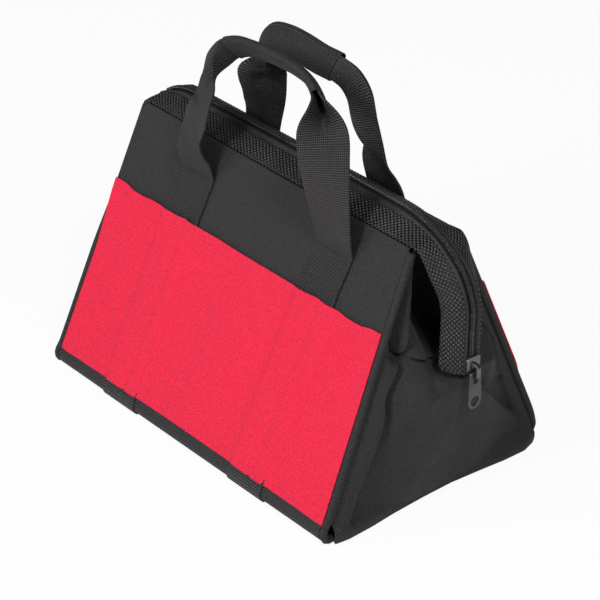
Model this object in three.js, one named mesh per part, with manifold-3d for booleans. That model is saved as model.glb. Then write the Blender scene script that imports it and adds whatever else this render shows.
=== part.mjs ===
// Zippered tool bag, in millimetres, +Z up.
// The origin is on the floor under the middle of the base. The front pocket faces -Y and the
// zip's slider hangs at the +X end. The bag stands on the two straps that pass under its base,
// and every height below is measured from the base's underside, which lies that much higher.

import * as THREE from 'three';
import { mergeVertices } from 'three/addons/utils/BufferGeometryUtils.js';
import Module from 'manifold-3d';

const wasm = await Module();
wasm.setup();

// Main sizes of the bag
const BASE_LENGTH = 320;
const BASE_DEPTH = 220;
const TOP_LENGTH = 303;
const TOP_GAP = 44;
const TOP_HEIGHT = 203;
const BASE_CORNER_RADIUS = 8;

// Sheet materials
const PANEL_THICKNESS = 2.4;
const POCKET_THICKNESS = 1.5;
const WEBBING_WIDTH = 38;
const WEBBING_THICKNESS = 1.8;
const TAPE_THICKNESS = 0.8;
const GUSSET_THICKNESS = 1.6;
const BOARD_THICKNESS = 3;
const SLEEVE_THICKNESS = 1.1;

// Clearances between neighbours
const SEAT = 0.3;
const HINGE_GAP = 0.4;

// Piping cord sewn round each end
const PIPING_RADIUS = 2.75;
const PIPING_SUNK = 1;
const PIPING_SHORT_OF_TOP = 3;

// Front and back pockets, measured up the slope of the side
const POCKET_LOW = 13.2;
const POCKET_HIGH = 157;
const POCKET_RIM = 1.6;
const BOARD_MARGIN = 4;

// Carrying straps: how far each lies from the middle, low down and at its sewn top
const SEWN_TOP = 193.3;
const STRAP_LINES = {
  front: { left: [-77, -69.5], right: [72, 83] },
  back: { left: [-77, -76], right: [72, 65] },
};

// Zip line: a straight ridge with a slight crown. At the right it bends over and hangs down;
// at the left it dips a little and is sewn shut over the bag's corner
const RIDGE_HALF = 112;
const RIDGE_CROWN = 0.8;
const BEND_RUN = 76;
const BEND_DROP = 58.5;
const HANG_TOP = 158;
const HANG_BOTTOM = 110;
const SHUT_RUN = 52;
const SHUT_DROP = 42;
const SHUT_REACH = 149.5;
const COIL_INNER = 0.7;
const COIL_OUTER = 4.3;
const COIL_THICKNESS = 2.6;
const BAND_VISIBLE = 17.4;
const TAPE_LEAST = 1.5;
const TONGUE_HALF_WIDTH = 24.9;
const TONGUE_SHORT_OF_COIL = 4;
const TONGUE_HEM = 13;
const SIDE_REACH = 138;
// Past the bag's corner the two halves of the tongue fold back from the coil like a roof
const TONGUE_FOLD = 52 * Math.PI / 180;
const TONGUE_FOLD_START = 155;
const TONGUE_FOLD_RUN = 45;
const TONGUE_HINGE = 7.3;
const TONGUE_TAPE_CLEAR = 0.6;
const TONGUE_HEM_CLEAR = 2.4;
const BAND_MITRE = 0.6;

// Zip slider, with its own middle on the hanging end of the zip
const SLIDER_HEIGHT = 16;
const SLIDER_WIDTH = 12.4;
const SLIDER_PLATE = 1.6;
const SLIDER_CORNER = 3;
const SLIDER_AT = 119.8;
const SLIDER_TRAVEL = 30;
const COIL_PLAY = 0.35;
const NECK_THICKNESS = 0.8;
const NECK_HEIGHT = 4;
const BRIDGE_WIDTH = 3;
const BRIDGE_THICKNESS = 2;
const BRIDGE_BELOW_PIN = 1.8;
const BRIDGE_ABOVE_PIN = 5.7;
const PIN_BELOW_MIDDLE = 4.5;
const PIN_OFF_PLATE = 1.9;

// Pull tab
const TAB_LENGTH = 30;
const TAB_TOP_WIDTH = 10;
const TAB_LOW_WIDTH = 12.6;
const TAB_THICKNESS = 1.6;
const TAB_PIN_HALF = 1.1;
const TAB_WINDOW = 7;
const TAB_WINDOW_PLAY = 0.7;
const TAB_HOLE_RADIUS = 3.9;
const TAB_RIM = 2.3;

// Handles: webbing that is folded in half inside a sewn grip sleeve
const HANDLE_GAP = 0.6;
const FOLD_HALF_GAP = 1.1;
const FOLD_ANGLE = 89.5 * Math.PI / 180;
const FOLD_RUN = 38;
const SEWN_RUN = 16;
const GRIP_TILT = 50 * Math.PI / 180;
const SLEEVE_LENGTH = 98;
const SLEEVE_ROOM = 0.35;
const HANDLE_STEP = 6;
const SLEEVE_STEP = 7;
const HANDLES = {
  front: {
    sleeveShift: 0,
    turning: { left: 3.5, right: 1.2 },
    route: [
      [-71, -38, 196], [-68.5, -39, 216], [-61, -38, 233], [-58, -34, 251],
      [-54.5, -28, 268], [-47.5, -22.5, 281.5], [-35, -20, 288.5], [-18, -20, 291.5], [2, -20, 293],
      [22, -20, 292.5], [38, -20, 289], [50, -22.5, 282.5], [60, -27.5, 274], [69, -34, 262],
      [75, -38, 246], [79, -39, 228], [82, -38.5, 210], [83.5, -37.5, 196],
    ],
  },
  back: {
    sleeveShift: -20,
    turning: { left: 1.2, right: 1.2 },
    route: [
      [-75, 33.5, 192], [-70, 29, 208], [-64, 24.5, 228], [-62, 21.5, 248],
      [-59, 20, 266], [-50, 20, 278.5], [-34, 20, 282.5], [-16, 20, 282.5], [4, 20, 280.5],
      [24, 20, 280.2], [37, 20, 277], [46, 20.5, 268], [50, 22, 252], [53.8, 24.5, 234],
      [57.5, 28, 214], [60.5, 31, 203], [64.3, 33.2, 190],
    ],
  },
};

// Gusset: it swells out from the base to a fold behind the tongue's hem, then falls in deep.
// Each row has its share of the height, its share of the way out or in, and how wide its
// middle is.
const FOLD_BELOW_HEM = 6;
const FOLD_BEHIND_HEM = 1.3;
const HOLLOW_DEPTH = 55;
const GUSSET_SHORT_OF_TOP = 2;
const GUSSET_FLOOR = 4.2;
const GUSSET_SAMPLE = 1;
const GUSSET_COLUMNS = 16;
const BELOW_FOLD = [[0, 0, 0.2], [0.11, 0.27, 0.25], [0.37, 0.53, 0.3], [0.67, 0.75, 0.36], [0.91, 0.95, 0.42]];
const ABOVE_FOLD = [
  [0, 0, 0.46], [0.05, 0.28, 0.42], [0.12, 0.37, 0.42], [0.23, 0.44, 0.36],
  [0.36, 0.69, 0.32], [0.57, 0.89, 0.3], [0.79, 0.98, 0.3], [1, 1, 0.3],
];

// Values that follow from the sizes above
const SLOPE_RUN = (BASE_DEPTH - TOP_GAP) / 2;
const SLOPE_LENGTH = Math.hypot(SLOPE_RUN, TOP_HEIGHT);
const UP_SLOPE = { y: SLOPE_RUN / SLOPE_LENGTH, z: TOP_HEIGHT / SLOPE_LENGTH };
const OUT_SLOPE = { y: -UP_SLOPE.z, z: UP_SLOPE.y };
const OUT_ANGLE = Math.atan2(OUT_SLOPE.z, OUT_SLOPE.y);
const CORNER_REACH = BASE_CORNER_RADIUS / Math.tan((Math.PI / 2 - Math.asin(UP_SLOPE.y)) / 2);
const SIDE_LOW = CORNER_REACH + HINGE_GAP;
const CORNER_Y = BASE_DEPTH / 2 - CORNER_REACH;
const EDGE_TAPER = (BASE_LENGTH - TOP_LENGTH) / 2 / SLOPE_LENGTH;
const STRAP_OUTER = SEAT + WEBBING_THICKNESS;
const POCKET_INNER = STRAP_OUTER + SEAT;
const RIDGE_LOW = HANG_TOP + BEND_DROP;
const HANG_X = RIDGE_HALF + BEND_RUN;
const TONGUE_BOTTOM = HANG_BOTTOM + TONGUE_SHORT_OF_COIL;
const GUSSET_TOP = TOP_HEIGHT - GUSSET_SHORT_OF_TOP;

const materials = {
  fabric: new THREE.MeshStandardMaterial({ color: '#2e2e30', roughness: 0.86, metalness: 0 }),
  pocket: new THREE.MeshStandardMaterial({ color: '#dc2448', roughness: 0.82, metalness: 0 }),
  webbing: new THREE.MeshStandardMaterial({ color: '#29292b', roughness: 0.8, metalness: 0 }),
  tape: new THREE.MeshStandardMaterial({ color: '#232325', roughness: 0.75, metalness: 0 }),
  coil: new THREE.MeshStandardMaterial({ color: '#161618', roughness: 0.35, metalness: 0 }),
  board: new THREE.MeshStandardMaterial({ color: '#3a3a3c', roughness: 0.6, metalness: 0 }),
  metal: new THREE.MeshStandardMaterial({ color: '#77777a', roughness: 0.38, metalness: 0.9 }),
};

const bag = new THREE.Group();
bag.position.z = STRAP_OUTER;

function add(name, geometry, material, group = bag) {
  const mesh = new THREE.Mesh(geometry, material);
  mesh.name = name;
  group.add(mesh);
  return mesh;
}

function smooth(value) {
  const t = Math.min(Math.max(value, 0), 1);
  return t * t * (3 - 2 * t);
}

function mix(a, b, t) {
  return a + (b - a) * t;
}

// A closed body from shared points and triangles, turned so that its faces point out
function closedBody(points, triangles) {
  let volume = 0;
  for (const [a, b, c] of triangles) {
    volume += points[a].dot(new THREE.Vector3().crossVectors(points[b], points[c]));
  }
  const ordered = volume < 0 ? triangles.map(([a, b, c]) => [a, c, b]) : triangles;
  const geometry = new THREE.BufferGeometry();
  const numbers = points.flatMap((p) => [p.x, p.y, p.z]);
  geometry.setAttribute('position', new THREE.Float32BufferAttribute(numbers, 3));
  geometry.setIndex(ordered.flat());
  return geometry;
}

// A sheet with thickness: two faces, each a list of rows with as many points in every row
function slab(outer, inner) {
  const rows = outer.length;
  const columns = outer[0].length;
  const points = [...outer.flat(), ...inner.flat()];
  const far = rows * columns;
  const triangles = [];
  const quad = (a, b, c, d) => triangles.push([a, b, c], [a, c, d]);
  const at = (row, column) => row * columns + column;
  for (let row = 0; row + 1 < rows; row += 1) {
    for (let column = 0; column + 1 < columns; column += 1) {
      const corners = [at(row, column), at(row, column + 1), at(row + 1, column + 1), at(row + 1, column)];
      quad(...corners);
      quad(...corners.map((corner) => corner + far).reverse());
    }
    quad(at(row + 1, 0), at(row + 1, 0) + far, at(row, 0) + far, at(row, 0));
    const last = columns - 1;
    quad(at(row, last), at(row, last) + far, at(row + 1, last) + far, at(row + 1, last));
  }
  for (let column = 0; column + 1 < columns; column += 1) {
    quad(at(0, column), at(0, column) + far, at(0, column + 1) + far, at(0, column + 1));
    const last = rows - 1;
    quad(at(last, column + 1), at(last, column + 1) + far, at(last, column) + far, at(last, column));
  }
  return closedBody(points, triangles);
}

// A solid round bar, or a tube where a second list of rings is given
function ringBody(rings, bore = null) {
  const sides = rings[0].length;
  const points = [...rings.flat(), ...(bore ? bore.flat() : [])];
  const triangles = [];
  const quad = (a, b, c, d) => triangles.push([a, b, c], [a, c, d]);
  const skin = (offset, turned) => {
    for (let ring = 0; ring + 1 < rings.length; ring += 1) {
      for (let side = 0; side < sides; side += 1) {
        const next = (side + 1) % sides;
        const a = offset + ring * sides + side;
        const b = offset + ring * sides + next;
        const corners = [a, b, b + sides, a + sides];
        quad(...(turned ? corners.reverse() : corners));
      }
    }
  };
  skin(0, false);
  const last = (rings.length - 1) * sides;
  if (bore) {
    const far = rings.length * sides;
    skin(far, true);
    for (let side = 0; side < sides; side += 1) {
      const next = (side + 1) % sides;
      quad(next, side, side + far, next + far);
      quad(last + side, last + next, last + next + far, last + side + far);
    }
  } else {
    for (let side = 1; side + 1 < sides; side += 1) {
      triangles.push([0, side + 1, side], [last, last + side, last + side + 1]);
    }
  }
  return closedBody(points, triangles);
}

// A round cord through points that lie in a plane, whose normal is given
function cord(points, radius, normal, sides = 10) {
  const rings = points.map((point, index) => {
    const before = points[Math.max(index - 1, 0)];
    const after = points[Math.min(index + 1, points.length - 1)];
    const along = after.clone().sub(before).normalize();
    const across = new THREE.Vector3().crossVectors(along, normal).normalize();
    const up = new THREE.Vector3().crossVectors(across, along);
    return Array.from({ length: sides }, (_, side) => {
      const angle = side / sides * Math.PI * 2;
      return point.clone()
        .addScaledVector(across, radius * Math.cos(angle))
        .addScaledVector(up, radius * Math.sin(angle));
    });
  });
  return ringBody(rings);
}

// A profile drawn in the YZ plane and stretched along X between two ends
function alongX(shape, from, to) {
  const geometry = new THREE.ExtrudeGeometry(shape, { depth: to - from, bevelEnabled: false, curveSegments: 6 });
  const turn = new THREE.Matrix4().makeBasis(
    new THREE.Vector3(0, 1, 0),
    new THREE.Vector3(0, 0, 1),
    new THREE.Vector3(1, 0, 0),
  );
  geometry.applyMatrix4(turn);
  geometry.translate(from, 0, 0);
  return geometry;
}

function plate(outline, from, to, holes = []) {
  const shape = new THREE.Shape(outline.map(([x, y]) => new THREE.Vector2(x, y)));
  shape.holes.push(...holes);
  const geometry = new THREE.ExtrudeGeometry(shape, { depth: to - from, bevelEnabled: false, curveSegments: 10 });
  geometry.translate(0, 0, from);
  return geometry;
}

function toManifold(geometry) {
  const bare = geometry.clone();
  bare.deleteAttribute('normal');
  bare.deleteAttribute('uv');
  const merged = mergeVertices(bare, 1e-4);
  const mesh = new wasm.Mesh({
    numProp: 3,
    vertProperties: new Float32Array(merged.attributes.position.array),
    triVerts: new Uint32Array(merged.index.array),
  });
  return new wasm.Manifold(mesh);
}

function joined(geometries) {
  const whole = geometries.map(toManifold).reduce((sum, piece) => sum.add(piece));
  const mesh = whole.getMesh();
  const geometry = new THREE.BufferGeometry();
  geometry.setAttribute('position', new THREE.BufferAttribute(new Float32Array(mesh.vertProperties), 3));
  geometry.setIndex(new THREE.BufferAttribute(new Uint32Array(mesh.triVerts), 1));
  return geometry;
}

// Half the length of a side at a height up its slope, out to the piping's outer face
function sideHalf(v) {
  return BASE_LENGTH / 2 - EDGE_TAPER * v;
}

function pipingX(v) {
  return sideHalf(v) - PIPING_RADIUS;
}

function panelHalf(v) {
  return pipingX(v) - PIPING_RADIUS - SEAT;
}

// A point of the front side's slope: along X, up the slope and out of it
function onSlope(x, v, w, facing = -1) {
  const y = -BASE_DEPTH / 2 + v * UP_SLOPE.y + w * OUT_SLOPE.y;
  return new THREE.Vector3(x, -facing * y, v * UP_SLOPE.z + w * OUT_SLOPE.z);
}

// A profile that runs under the base and up both of its rounded corners
function channelShape(outerOffset, innerOffset) {
  const outer = BASE_CORNER_RADIUS + outerOffset;
  const inner = BASE_CORNER_RADIUS + innerOffset;
  const backAngle = Math.PI - OUT_ANGLE;
  const shape = new THREE.Shape();
  shape.absarc(-CORNER_Y, BASE_CORNER_RADIUS, outer, OUT_ANGLE, Math.PI * 1.5, false);
  shape.absarc(CORNER_Y, BASE_CORNER_RADIUS, outer, -Math.PI / 2, backAngle, false);
  shape.absarc(CORNER_Y, BASE_CORNER_RADIUS, inner, backAngle, -Math.PI / 2, true);
  shape.absarc(-CORNER_Y, BASE_CORNER_RADIUS, inner, Math.PI * 1.5, OUT_ANGLE, true);
  shape.closePath();
  return shape;
}

function buildBase() {
  const half = panelHalf(0);
  add('base_panel', alongX(channelShape(0, -PANEL_THICKNESS), -half, half), materials.fabric);

  const boardHalf = half - BOARD_MARGIN;
  const boardDepth = 2 * (CORNER_Y - BOARD_MARGIN / 2);
  const board = new THREE.BoxGeometry(2 * boardHalf, boardDepth, BOARD_THICKNESS);
  add('base_board', board, materials.board).position.z = PANEL_THICKNESS + SEAT + BOARD_THICKNESS / 2;

  for (const [hand, [low]] of Object.entries(STRAP_LINES.front)) {
    const strap = alongX(channelShape(STRAP_OUTER, SEAT), low - WEBBING_WIDTH / 2, low + WEBBING_WIDTH / 2);
    add(`base_strap_${hand}`, strap, materials.webbing);
  }

  for (const [hand, sign] of [['left', -1], ['right', 1]]) {
    const radius = BASE_CORNER_RADIUS - PIPING_SUNK;
    const points = [];
    const steps = 8;
    for (let step = 0; step <= steps; step += 1) {
      const angle = mix(OUT_ANGLE, Math.PI * 1.5, step / steps);
      points.push([-CORNER_Y + radius * Math.cos(angle), BASE_CORNER_RADIUS + radius * Math.sin(angle)]);
    }
    const front = points.map(([y, z]) => new THREE.Vector3(sign * pipingX(0), y, z));
    const back = front.map((p) => new THREE.Vector3(p.x, -p.y, p.z)).reverse();
    const piping = cord([...front, ...back], PIPING_RADIUS, new THREE.Vector3(1, 0, 0));
    add(`base_piping_${hand}`, piping, materials.fabric);
  }
}

// How far the gusset's edge may reach from the middle at a height
function gussetReach(z) {
  const onLine = BASE_DEPTH / 2 - z * UP_SLOPE.y / UP_SLOPE.z - (PIPING_SUNK + PIPING_RADIUS + SEAT) / UP_SLOPE.z;
  const room = BASE_CORNER_RADIUS - PIPING_SUNK - PIPING_RADIUS - SEAT;
  const drop = Math.max(BASE_CORNER_RADIUS - z, 0);
  const onCorner = CORNER_Y + Math.sqrt(Math.max(room * room - drop * drop, 0)) - SEAT;
  return Math.min(onLine, drop > 0 ? onCorner : onLine);
}

function gussetForm() {
  const foldZ = TONGUE_BOTTOM - FOLD_BELOW_HEM;
  const foldX = HANG_X - 1.5 * WEBBING_THICKNESS - FOLD_BEHIND_HEM;
  const lowX = pipingX(0) - SEAT;
  const below = BELOW_FOLD.map(([up, way, flat]) => ({ z: up * foldZ, out: mix(lowX, foldX, way), flat }));
  const above = ABOVE_FOLD.map(([up, way, flat]) => (
    { z: mix(foldZ, TOP_HEIGHT, up), out: foldX - way * HOLLOW_DEPTH, flat }
  ));
  return [...below, ...above];
}

function gussetRow(z) {
  const form = gussetForm();
  const after = Math.max(form.findIndex((row) => row.z >= z), 1);
  const low = form[after - 1];
  const high = form[after];
  const t = (z - low.z) / (high.z - low.z);
  return { out: mix(low.out, high.out, t), flat: mix(low.flat, high.flat, t) };
}

function gussetPoint(z, share) {
  const { out, flat } = gussetRow(z);
  const edge = pipingX(z / UP_SLOPE.z) - SEAT;
  const bulge = smooth((1 - Math.abs(share)) / (1 - flat));
  return new THREE.Vector3(mix(edge, out, bulge), share * gussetReach(z), z);
}

function buildGussets() {
  const bottom = GUSSET_FLOOR + PIPING_RADIUS;
  const knots = [bottom, ...gussetForm().map(({ z }) => z).filter((z) => z > bottom + GUSSET_SAMPLE && z < GUSSET_TOP)];
  knots.push(GUSSET_TOP);
  const heights = knots.flatMap((z, index) => (index ? [mix(knots[index - 1], z, 0.5), z] : [z]));
  for (const [hand, sign] of [['left', -1], ['right', 1]]) {
    const outer = [];
    const inner = [];
    for (const z of heights) {
      const outerRow = [];
      const innerRow = [];
      for (let column = 0; column <= GUSSET_COLUMNS; column += 1) {
        const share = 2 * column / GUSSET_COLUMNS - 1;
        const point = gussetPoint(z, share);
        const above = gussetPoint(Math.min(z + GUSSET_SAMPLE, GUSSET_TOP), share);
        const below = gussetPoint(Math.max(z - GUSSET_SAMPLE, bottom), share);
        const slope = (above.x - below.x) / (above.z - below.z);
        const depth = GUSSET_THICKNESS * Math.min(Math.hypot(1, slope), 2);
        outerRow.push(new THREE.Vector3(sign * point.x, point.y, point.z));
        innerRow.push(new THREE.Vector3(sign * (point.x - depth), point.y, point.z));
      }
      outer.push(outerRow);
      inner.push(innerRow);
    }
    add(`gusset_${hand}`, slab(outer, inner), materials.fabric);
  }
}

// Half of the zip line, from the middle of the ridge to the coil's end, along +X
class ZipLine extends THREE.Curve {
  constructor({ run, drop, turn, hang }) {
    super();
    this.run = run;
    this.drop = drop;
    this.turn = turn;
    this.hang = hang;
    this.bend = turn * (run + drop) / 2;
    this.arcLengthDivisions = 1200;
  }

  getPoint(t, target = new THREE.Vector3()) {
    const { run, drop, turn, hang, bend } = this;
    const reach = t * (RIDGE_HALF + bend + hang);
    if (reach < RIDGE_HALF) {
      const share = reach / RIDGE_HALF;
      const crown = RIDGE_CROWN * (1 - share * share) ** 2;
      return target.set(reach, 0, RIDGE_LOW + crown);
    }
    const beyond = reach - RIDGE_HALF;
    const angle = Math.min(beyond / bend, 1) * turn;
    const x = RIDGE_HALF + run * Math.sin(angle);
    return target.set(x, 0, RIDGE_LOW - drop * (1 - Math.cos(angle)) - Math.max(beyond - bend, 0));
  }
}

const hangingZip = new ZipLine({
  run: BEND_RUN, drop: BEND_DROP, turn: Math.PI / 2, hang: HANG_TOP - HANG_BOTTOM,
});
const shutZip = new ZipLine({
  run: SHUT_RUN, drop: SHUT_DROP, turn: Math.asin((SHUT_REACH - RIDGE_HALF) / SHUT_RUN), hang: 0,
});
const ZIP_LENGTH = hangingZip.getLength();
const SHUT_LENGTH = shutZip.getLength();

// One place along the zip: its point, its outward direction, and how its flap lies
function zipFrame(s, end) {
  const line = end > 0 ? hangingZip : shutZip;
  const u = Math.min(s / line.getLength(), 1);
  const point = line.getPointAt(u);
  const along = line.getTangentAt(u);
  const out = new THREE.Vector3(-along.z, 0, along.x);
  const corner = line.getPointAt(Math.min(s, TONGUE_FOLD_START, line.getLength()) / line.getLength());
  const drop = Math.max(corner.z - TOP_HEIGHT, 0);
  const folded = end > 0 ? smooth((s - TONGUE_FOLD_START) / TONGUE_FOLD_RUN) : 0;
  return {
    point,
    out,
    folded,
    hinge: TONGUE_HINGE * folded,
    slope: mix(Math.atan2(drop, TOP_GAP / 2), TONGUE_FOLD, folded),
    width: mix(Math.hypot(drop, TOP_GAP / 2), TONGUE_HALF_WIDTH, folded),
  };
}

// A point beside the zip: how far across, how far lifted off, which end and which side
function besideZip(frame, across, lift, end, facing) {
  const beyond = across - frame.hinge;
  const slope = beyond > 0 ? frame.slope : 0;
  const y = -frame.hinge - beyond * Math.cos(slope) - lift * Math.sin(slope);
  const rise = -beyond * Math.sin(slope) + lift * Math.cos(slope);
  const spot = frame.point.clone().addScaledVector(frame.out, rise);
  return new THREE.Vector3(end * spot.x, -facing * y, spot.z);
}

// A strip that runs along the zip, given its edges and its thickness at each place
function zipStrip(places, edges, half, facing, frameAt = zipFrame) {
  const outer = [];
  const inner = [];
  for (const { s, end } of places) {
    const frame = frameAt(s, end);
    const [near, far] = edges(frame, s);
    outer.push([near, far].map((across) => besideZip(frame, across, half(s)[0], end, facing)));
    inner.push([near, far].map((across) => besideZip(frame, across, -half(s)[1], end, facing)));
  }
  return slab(outer, inner);
}

function spaced(from, to, step) {
  const count = Math.max(Math.round((to - from) / step), 1);
  return Array.from({ length: count + 1 }, (_, index) => mix(from, to, index / count));
}

function reachOf(x) {
  let low = 0;
  let high = ZIP_LENGTH;
  for (let turn = 0; turn < 40; turn += 1) {
    const middle = (low + high) / 2;
    if (hangingZip.getPointAt(middle / ZIP_LENGTH).x < x) low = middle;
    else high = middle;
  }
  return low;
}

// Towards the shut end the flap narrows, and the band gives way to a least width of tape
const TAPE_NEAR = COIL_OUTER + 2 * SEAT;
const bandNear = (width) => Math.max(width - BAND_VISIBLE, TAPE_NEAR + TAPE_LEAST + SEAT);
const bandEdges = ({ width }) => [bandNear(width), width - BAND_MITRE];
const tapeEdges = ({ width, folded }) => [TAPE_NEAR, bandNear(width) - SEAT - folded * TONGUE_TAPE_CLEAR];
const coilEdges = () => [COIL_INNER, COIL_OUTER];
const coilHalf = () => [COIL_THICKNESS / 2, COIL_THICKNESS / 2];
const coilFrame = (s, end) => ({ ...zipFrame(s, end), slope: 0, hinge: 0 });

// The tongue: the zip's end with its bands, hanging free over the right gusset
function buildTongue() {
  const start = reachOf(SIDE_REACH) + SEAT;
  const tapeEnd = ZIP_LENGTH - TONGUE_SHORT_OF_COIL;
  const hemStart = tapeEnd - TONGUE_HEM;
  const bandHalf = WEBBING_THICKNESS / 2;
  const end = 1;
  for (const [side, facing] of [['front', -1], ['back', 1]]) {
    const run = spaced(start, hemStart, 9);
    const places = [...run, hemStart + 0.5, tapeEnd].map((s) => ({ s, end }));
    const doubled = (s) => [bandHalf, s > hemStart ? bandHalf + WEBBING_THICKNESS : bandHalf];
    const hemmed = (frame, s) => {
      const [near, far] = bandEdges(frame);
      return [near + (s > hemStart ? TONGUE_HEM_CLEAR : 0), far];
    };
    const band = zipStrip(places, hemmed, doubled, facing);
    add(`tongue_${side}_band`, band, materials.webbing);

    const tapePlaces = spaced(start, tapeEnd, 9).map((s) => ({ s, end }));
    const tapeHalf = () => [TAPE_THICKNESS / 2, TAPE_THICKNESS / 2];
    add(`tongue_${side}_tape`, zipStrip(tapePlaces, tapeEdges, tapeHalf, facing), materials.tape);

    const coilPlaces = spaced(start, ZIP_LENGTH, 9).map((s) => ({ s, end }));
    const coil = zipStrip(coilPlaces, coilEdges, coilHalf, facing, coilFrame);
    add(`tongue_${side}_coil`, coil, materials.coil);
  }
}

function slopeCord(facing, sign) {
  const stations = spaced(SIDE_LOW, SLOPE_LENGTH - PIPING_SHORT_OF_TOP, 60);
  const points = stations.map((v) => onSlope(sign * pipingX(v), v, -PIPING_SUNK, facing));
  return cord(points, PIPING_RADIUS, new THREE.Vector3(0, facing * UP_SLOPE.z, UP_SLOPE.y));
}

function strapOutline([low, high]) {
  const lean = (high - low) / (SEWN_TOP - SIDE_LOW);
  const centre = (v) => low + lean * (v - SIDE_LOW);
  return [
    [low - WEBBING_WIDTH / 2, SIDE_LOW],
    [low + WEBBING_WIDTH / 2, SIDE_LOW],
    [centre(SEWN_TOP) + WEBBING_WIDTH / 2, SEWN_TOP],
    [centre(SEWN_TOP) - WEBBING_WIDTH / 2, SEWN_TOP],
  ];
}

// The pocket is a shallow tray: its sheet stands off the straps, its rims reach the panel
function pocketGeometry(lines) {
  const wide = (v) => panelHalf(v);
  const trapezoid = (inset, low, high) => [
    [-wide(low) + inset, low],
    [wide(low) - inset, low],
    [wide(high) - inset, high],
    [-wide(high) + inset, high],
  ];
  const sheet = plate(trapezoid(0, POCKET_LOW, POCKET_HIGH), POCKET_INNER, POCKET_INNER + POCKET_THICKNESS);
  const rims = [-1, 1].map((sign) => plate([
    [sign * wide(POCKET_LOW), POCKET_LOW],
    [sign * wide(POCKET_HIGH), POCKET_HIGH],
    [sign * (wide(POCKET_HIGH) - POCKET_RIM), POCKET_HIGH],
    [sign * (wide(POCKET_LOW) - POCKET_RIM), POCKET_LOW],
  ], SEAT, POCKET_INNER + POCKET_THICKNESS / 2));
  const cuts = lines.flatMap((x) => [x - WEBBING_WIDTH / 2 - 2 * SEAT, x + WEBBING_WIDTH / 2 + 2 * SEAT]);
  const stops = [-wide(POCKET_LOW), ...cuts.sort((a, b) => a - b), wide(POCKET_LOW)];
  for (let index = 0; index < stops.length; index += 2) {
    rims.push(plate([
      [stops[index], POCKET_LOW],
      [stops[index + 1], POCKET_LOW],
      [stops[index + 1] - EDGE_TAPER * POCKET_RIM * (index > 2), POCKET_LOW + POCKET_RIM],
      [stops[index] + EDGE_TAPER * POCKET_RIM * (index === 0), POCKET_LOW + POCKET_RIM],
    ], SEAT, POCKET_INNER + POCKET_THICKNESS / 2));
  }
  return joined([sheet, ...rims]);
}

function buildSide(side, facing) {
  const slope = new THREE.Group();
  slope.position.set(0, facing * BASE_DEPTH / 2, 0);
  slope.rotation.order = 'ZXY';
  slope.rotation.set(Math.atan2(UP_SLOPE.z, UP_SLOPE.y), 0, facing > 0 ? Math.PI : 0);
  bag.add(slope);

  // Seen from behind, the side's own left and right change places
  const swap = facing > 0 ? -1 : 1;
  const top = SLOPE_LENGTH - SEAT;
  const outline = [
    [-panelHalf(SIDE_LOW), SIDE_LOW],
    [panelHalf(SIDE_LOW), SIDE_LOW],
    [panelHalf(top), top],
    [-panelHalf(top), top],
  ];
  add(`${side}_panel`, plate(outline, -PANEL_THICKNESS, 0), materials.fabric, slope);

  const lines = STRAP_LINES[side];
  const leanAt = ([low, high], v) => mix(low, high, (v - SIDE_LOW) / (SEWN_TOP - SIDE_LOW));
  const crossings = Object.values(lines).map((line) => swap * leanAt(line, POCKET_LOW));
  add(`${side}_pocket`, pocketGeometry(crossings), materials.pocket, slope);

  for (const [hand, line] of Object.entries(lines)) {
    const corners = strapOutline(line).map(([x, v]) => [swap * x, v]);
    const ordered = swap < 0 ? corners.reverse() : corners;
    add(`${side}_strap_${hand}`, plate(ordered, SEAT, STRAP_OUTER), materials.webbing, slope);
  }

  for (const [hand, sign] of [['left', -1], ['right', 1]]) {
    add(`${side}_piping_${hand}`, slopeCord(facing, sign), materials.fabric);
  }

  const reach = reachOf(SIDE_REACH);
  const right = spaced(0, reach, 12).map((s) => ({ s, end: 1 }));
  const left = spaced(0, SHUT_LENGTH, 5).slice(1).map((s) => ({ s, end: -1 })).reverse();
  const places = [...left, ...right];
  const halfOf = (thickness) => () => [thickness / 2, thickness / 2];
  add(`${side}_band`, zipStrip(places, bandEdges, halfOf(WEBBING_THICKNESS), facing), materials.webbing);
  add(`${side}_zip_tape`, zipStrip(places, tapeEdges, halfOf(TAPE_THICKNESS), facing), materials.tape);
  add(`${side}_zip_coil`, zipStrip(places, coilEdges, coilHalf, facing, coilFrame), materials.coil);
}

// The webbing's section: flat at zero, and folded in half round its middle when closed
function foldedSection(closing) {
  const half = WEBBING_THICKNESS / 2;
  const arm = WEBBING_WIDTH / 2 - FOLD_HALF_GAP;
  const turn = half * Math.tan(closing / 2);
  const tip = [FOLD_HALF_GAP + arm * Math.cos(closing), arm * Math.sin(closing)];
  const across = [-Math.sin(closing) * half, Math.cos(closing) * half];
  const lowSide = [[FOLD_HALF_GAP + turn, -half], [tip[0] - across[0], tip[1] - across[1]]];
  const highSide = [[FOLD_HALF_GAP - turn, half], [tip[0] + across[0], tip[1] + across[1]]];
  const whole = (pair) => [[-pair[1][0], pair[1][1]], [-pair[0][0], pair[0][1]], ...pair];
  const sunk = arm * Math.sin(closing) / 2;
  const centred = (points) => points.map(([a, b]) => [a, b - sunk]);
  return { low: centred(whole(lowSide)), high: centred(whole(highSide)) };
}

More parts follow.
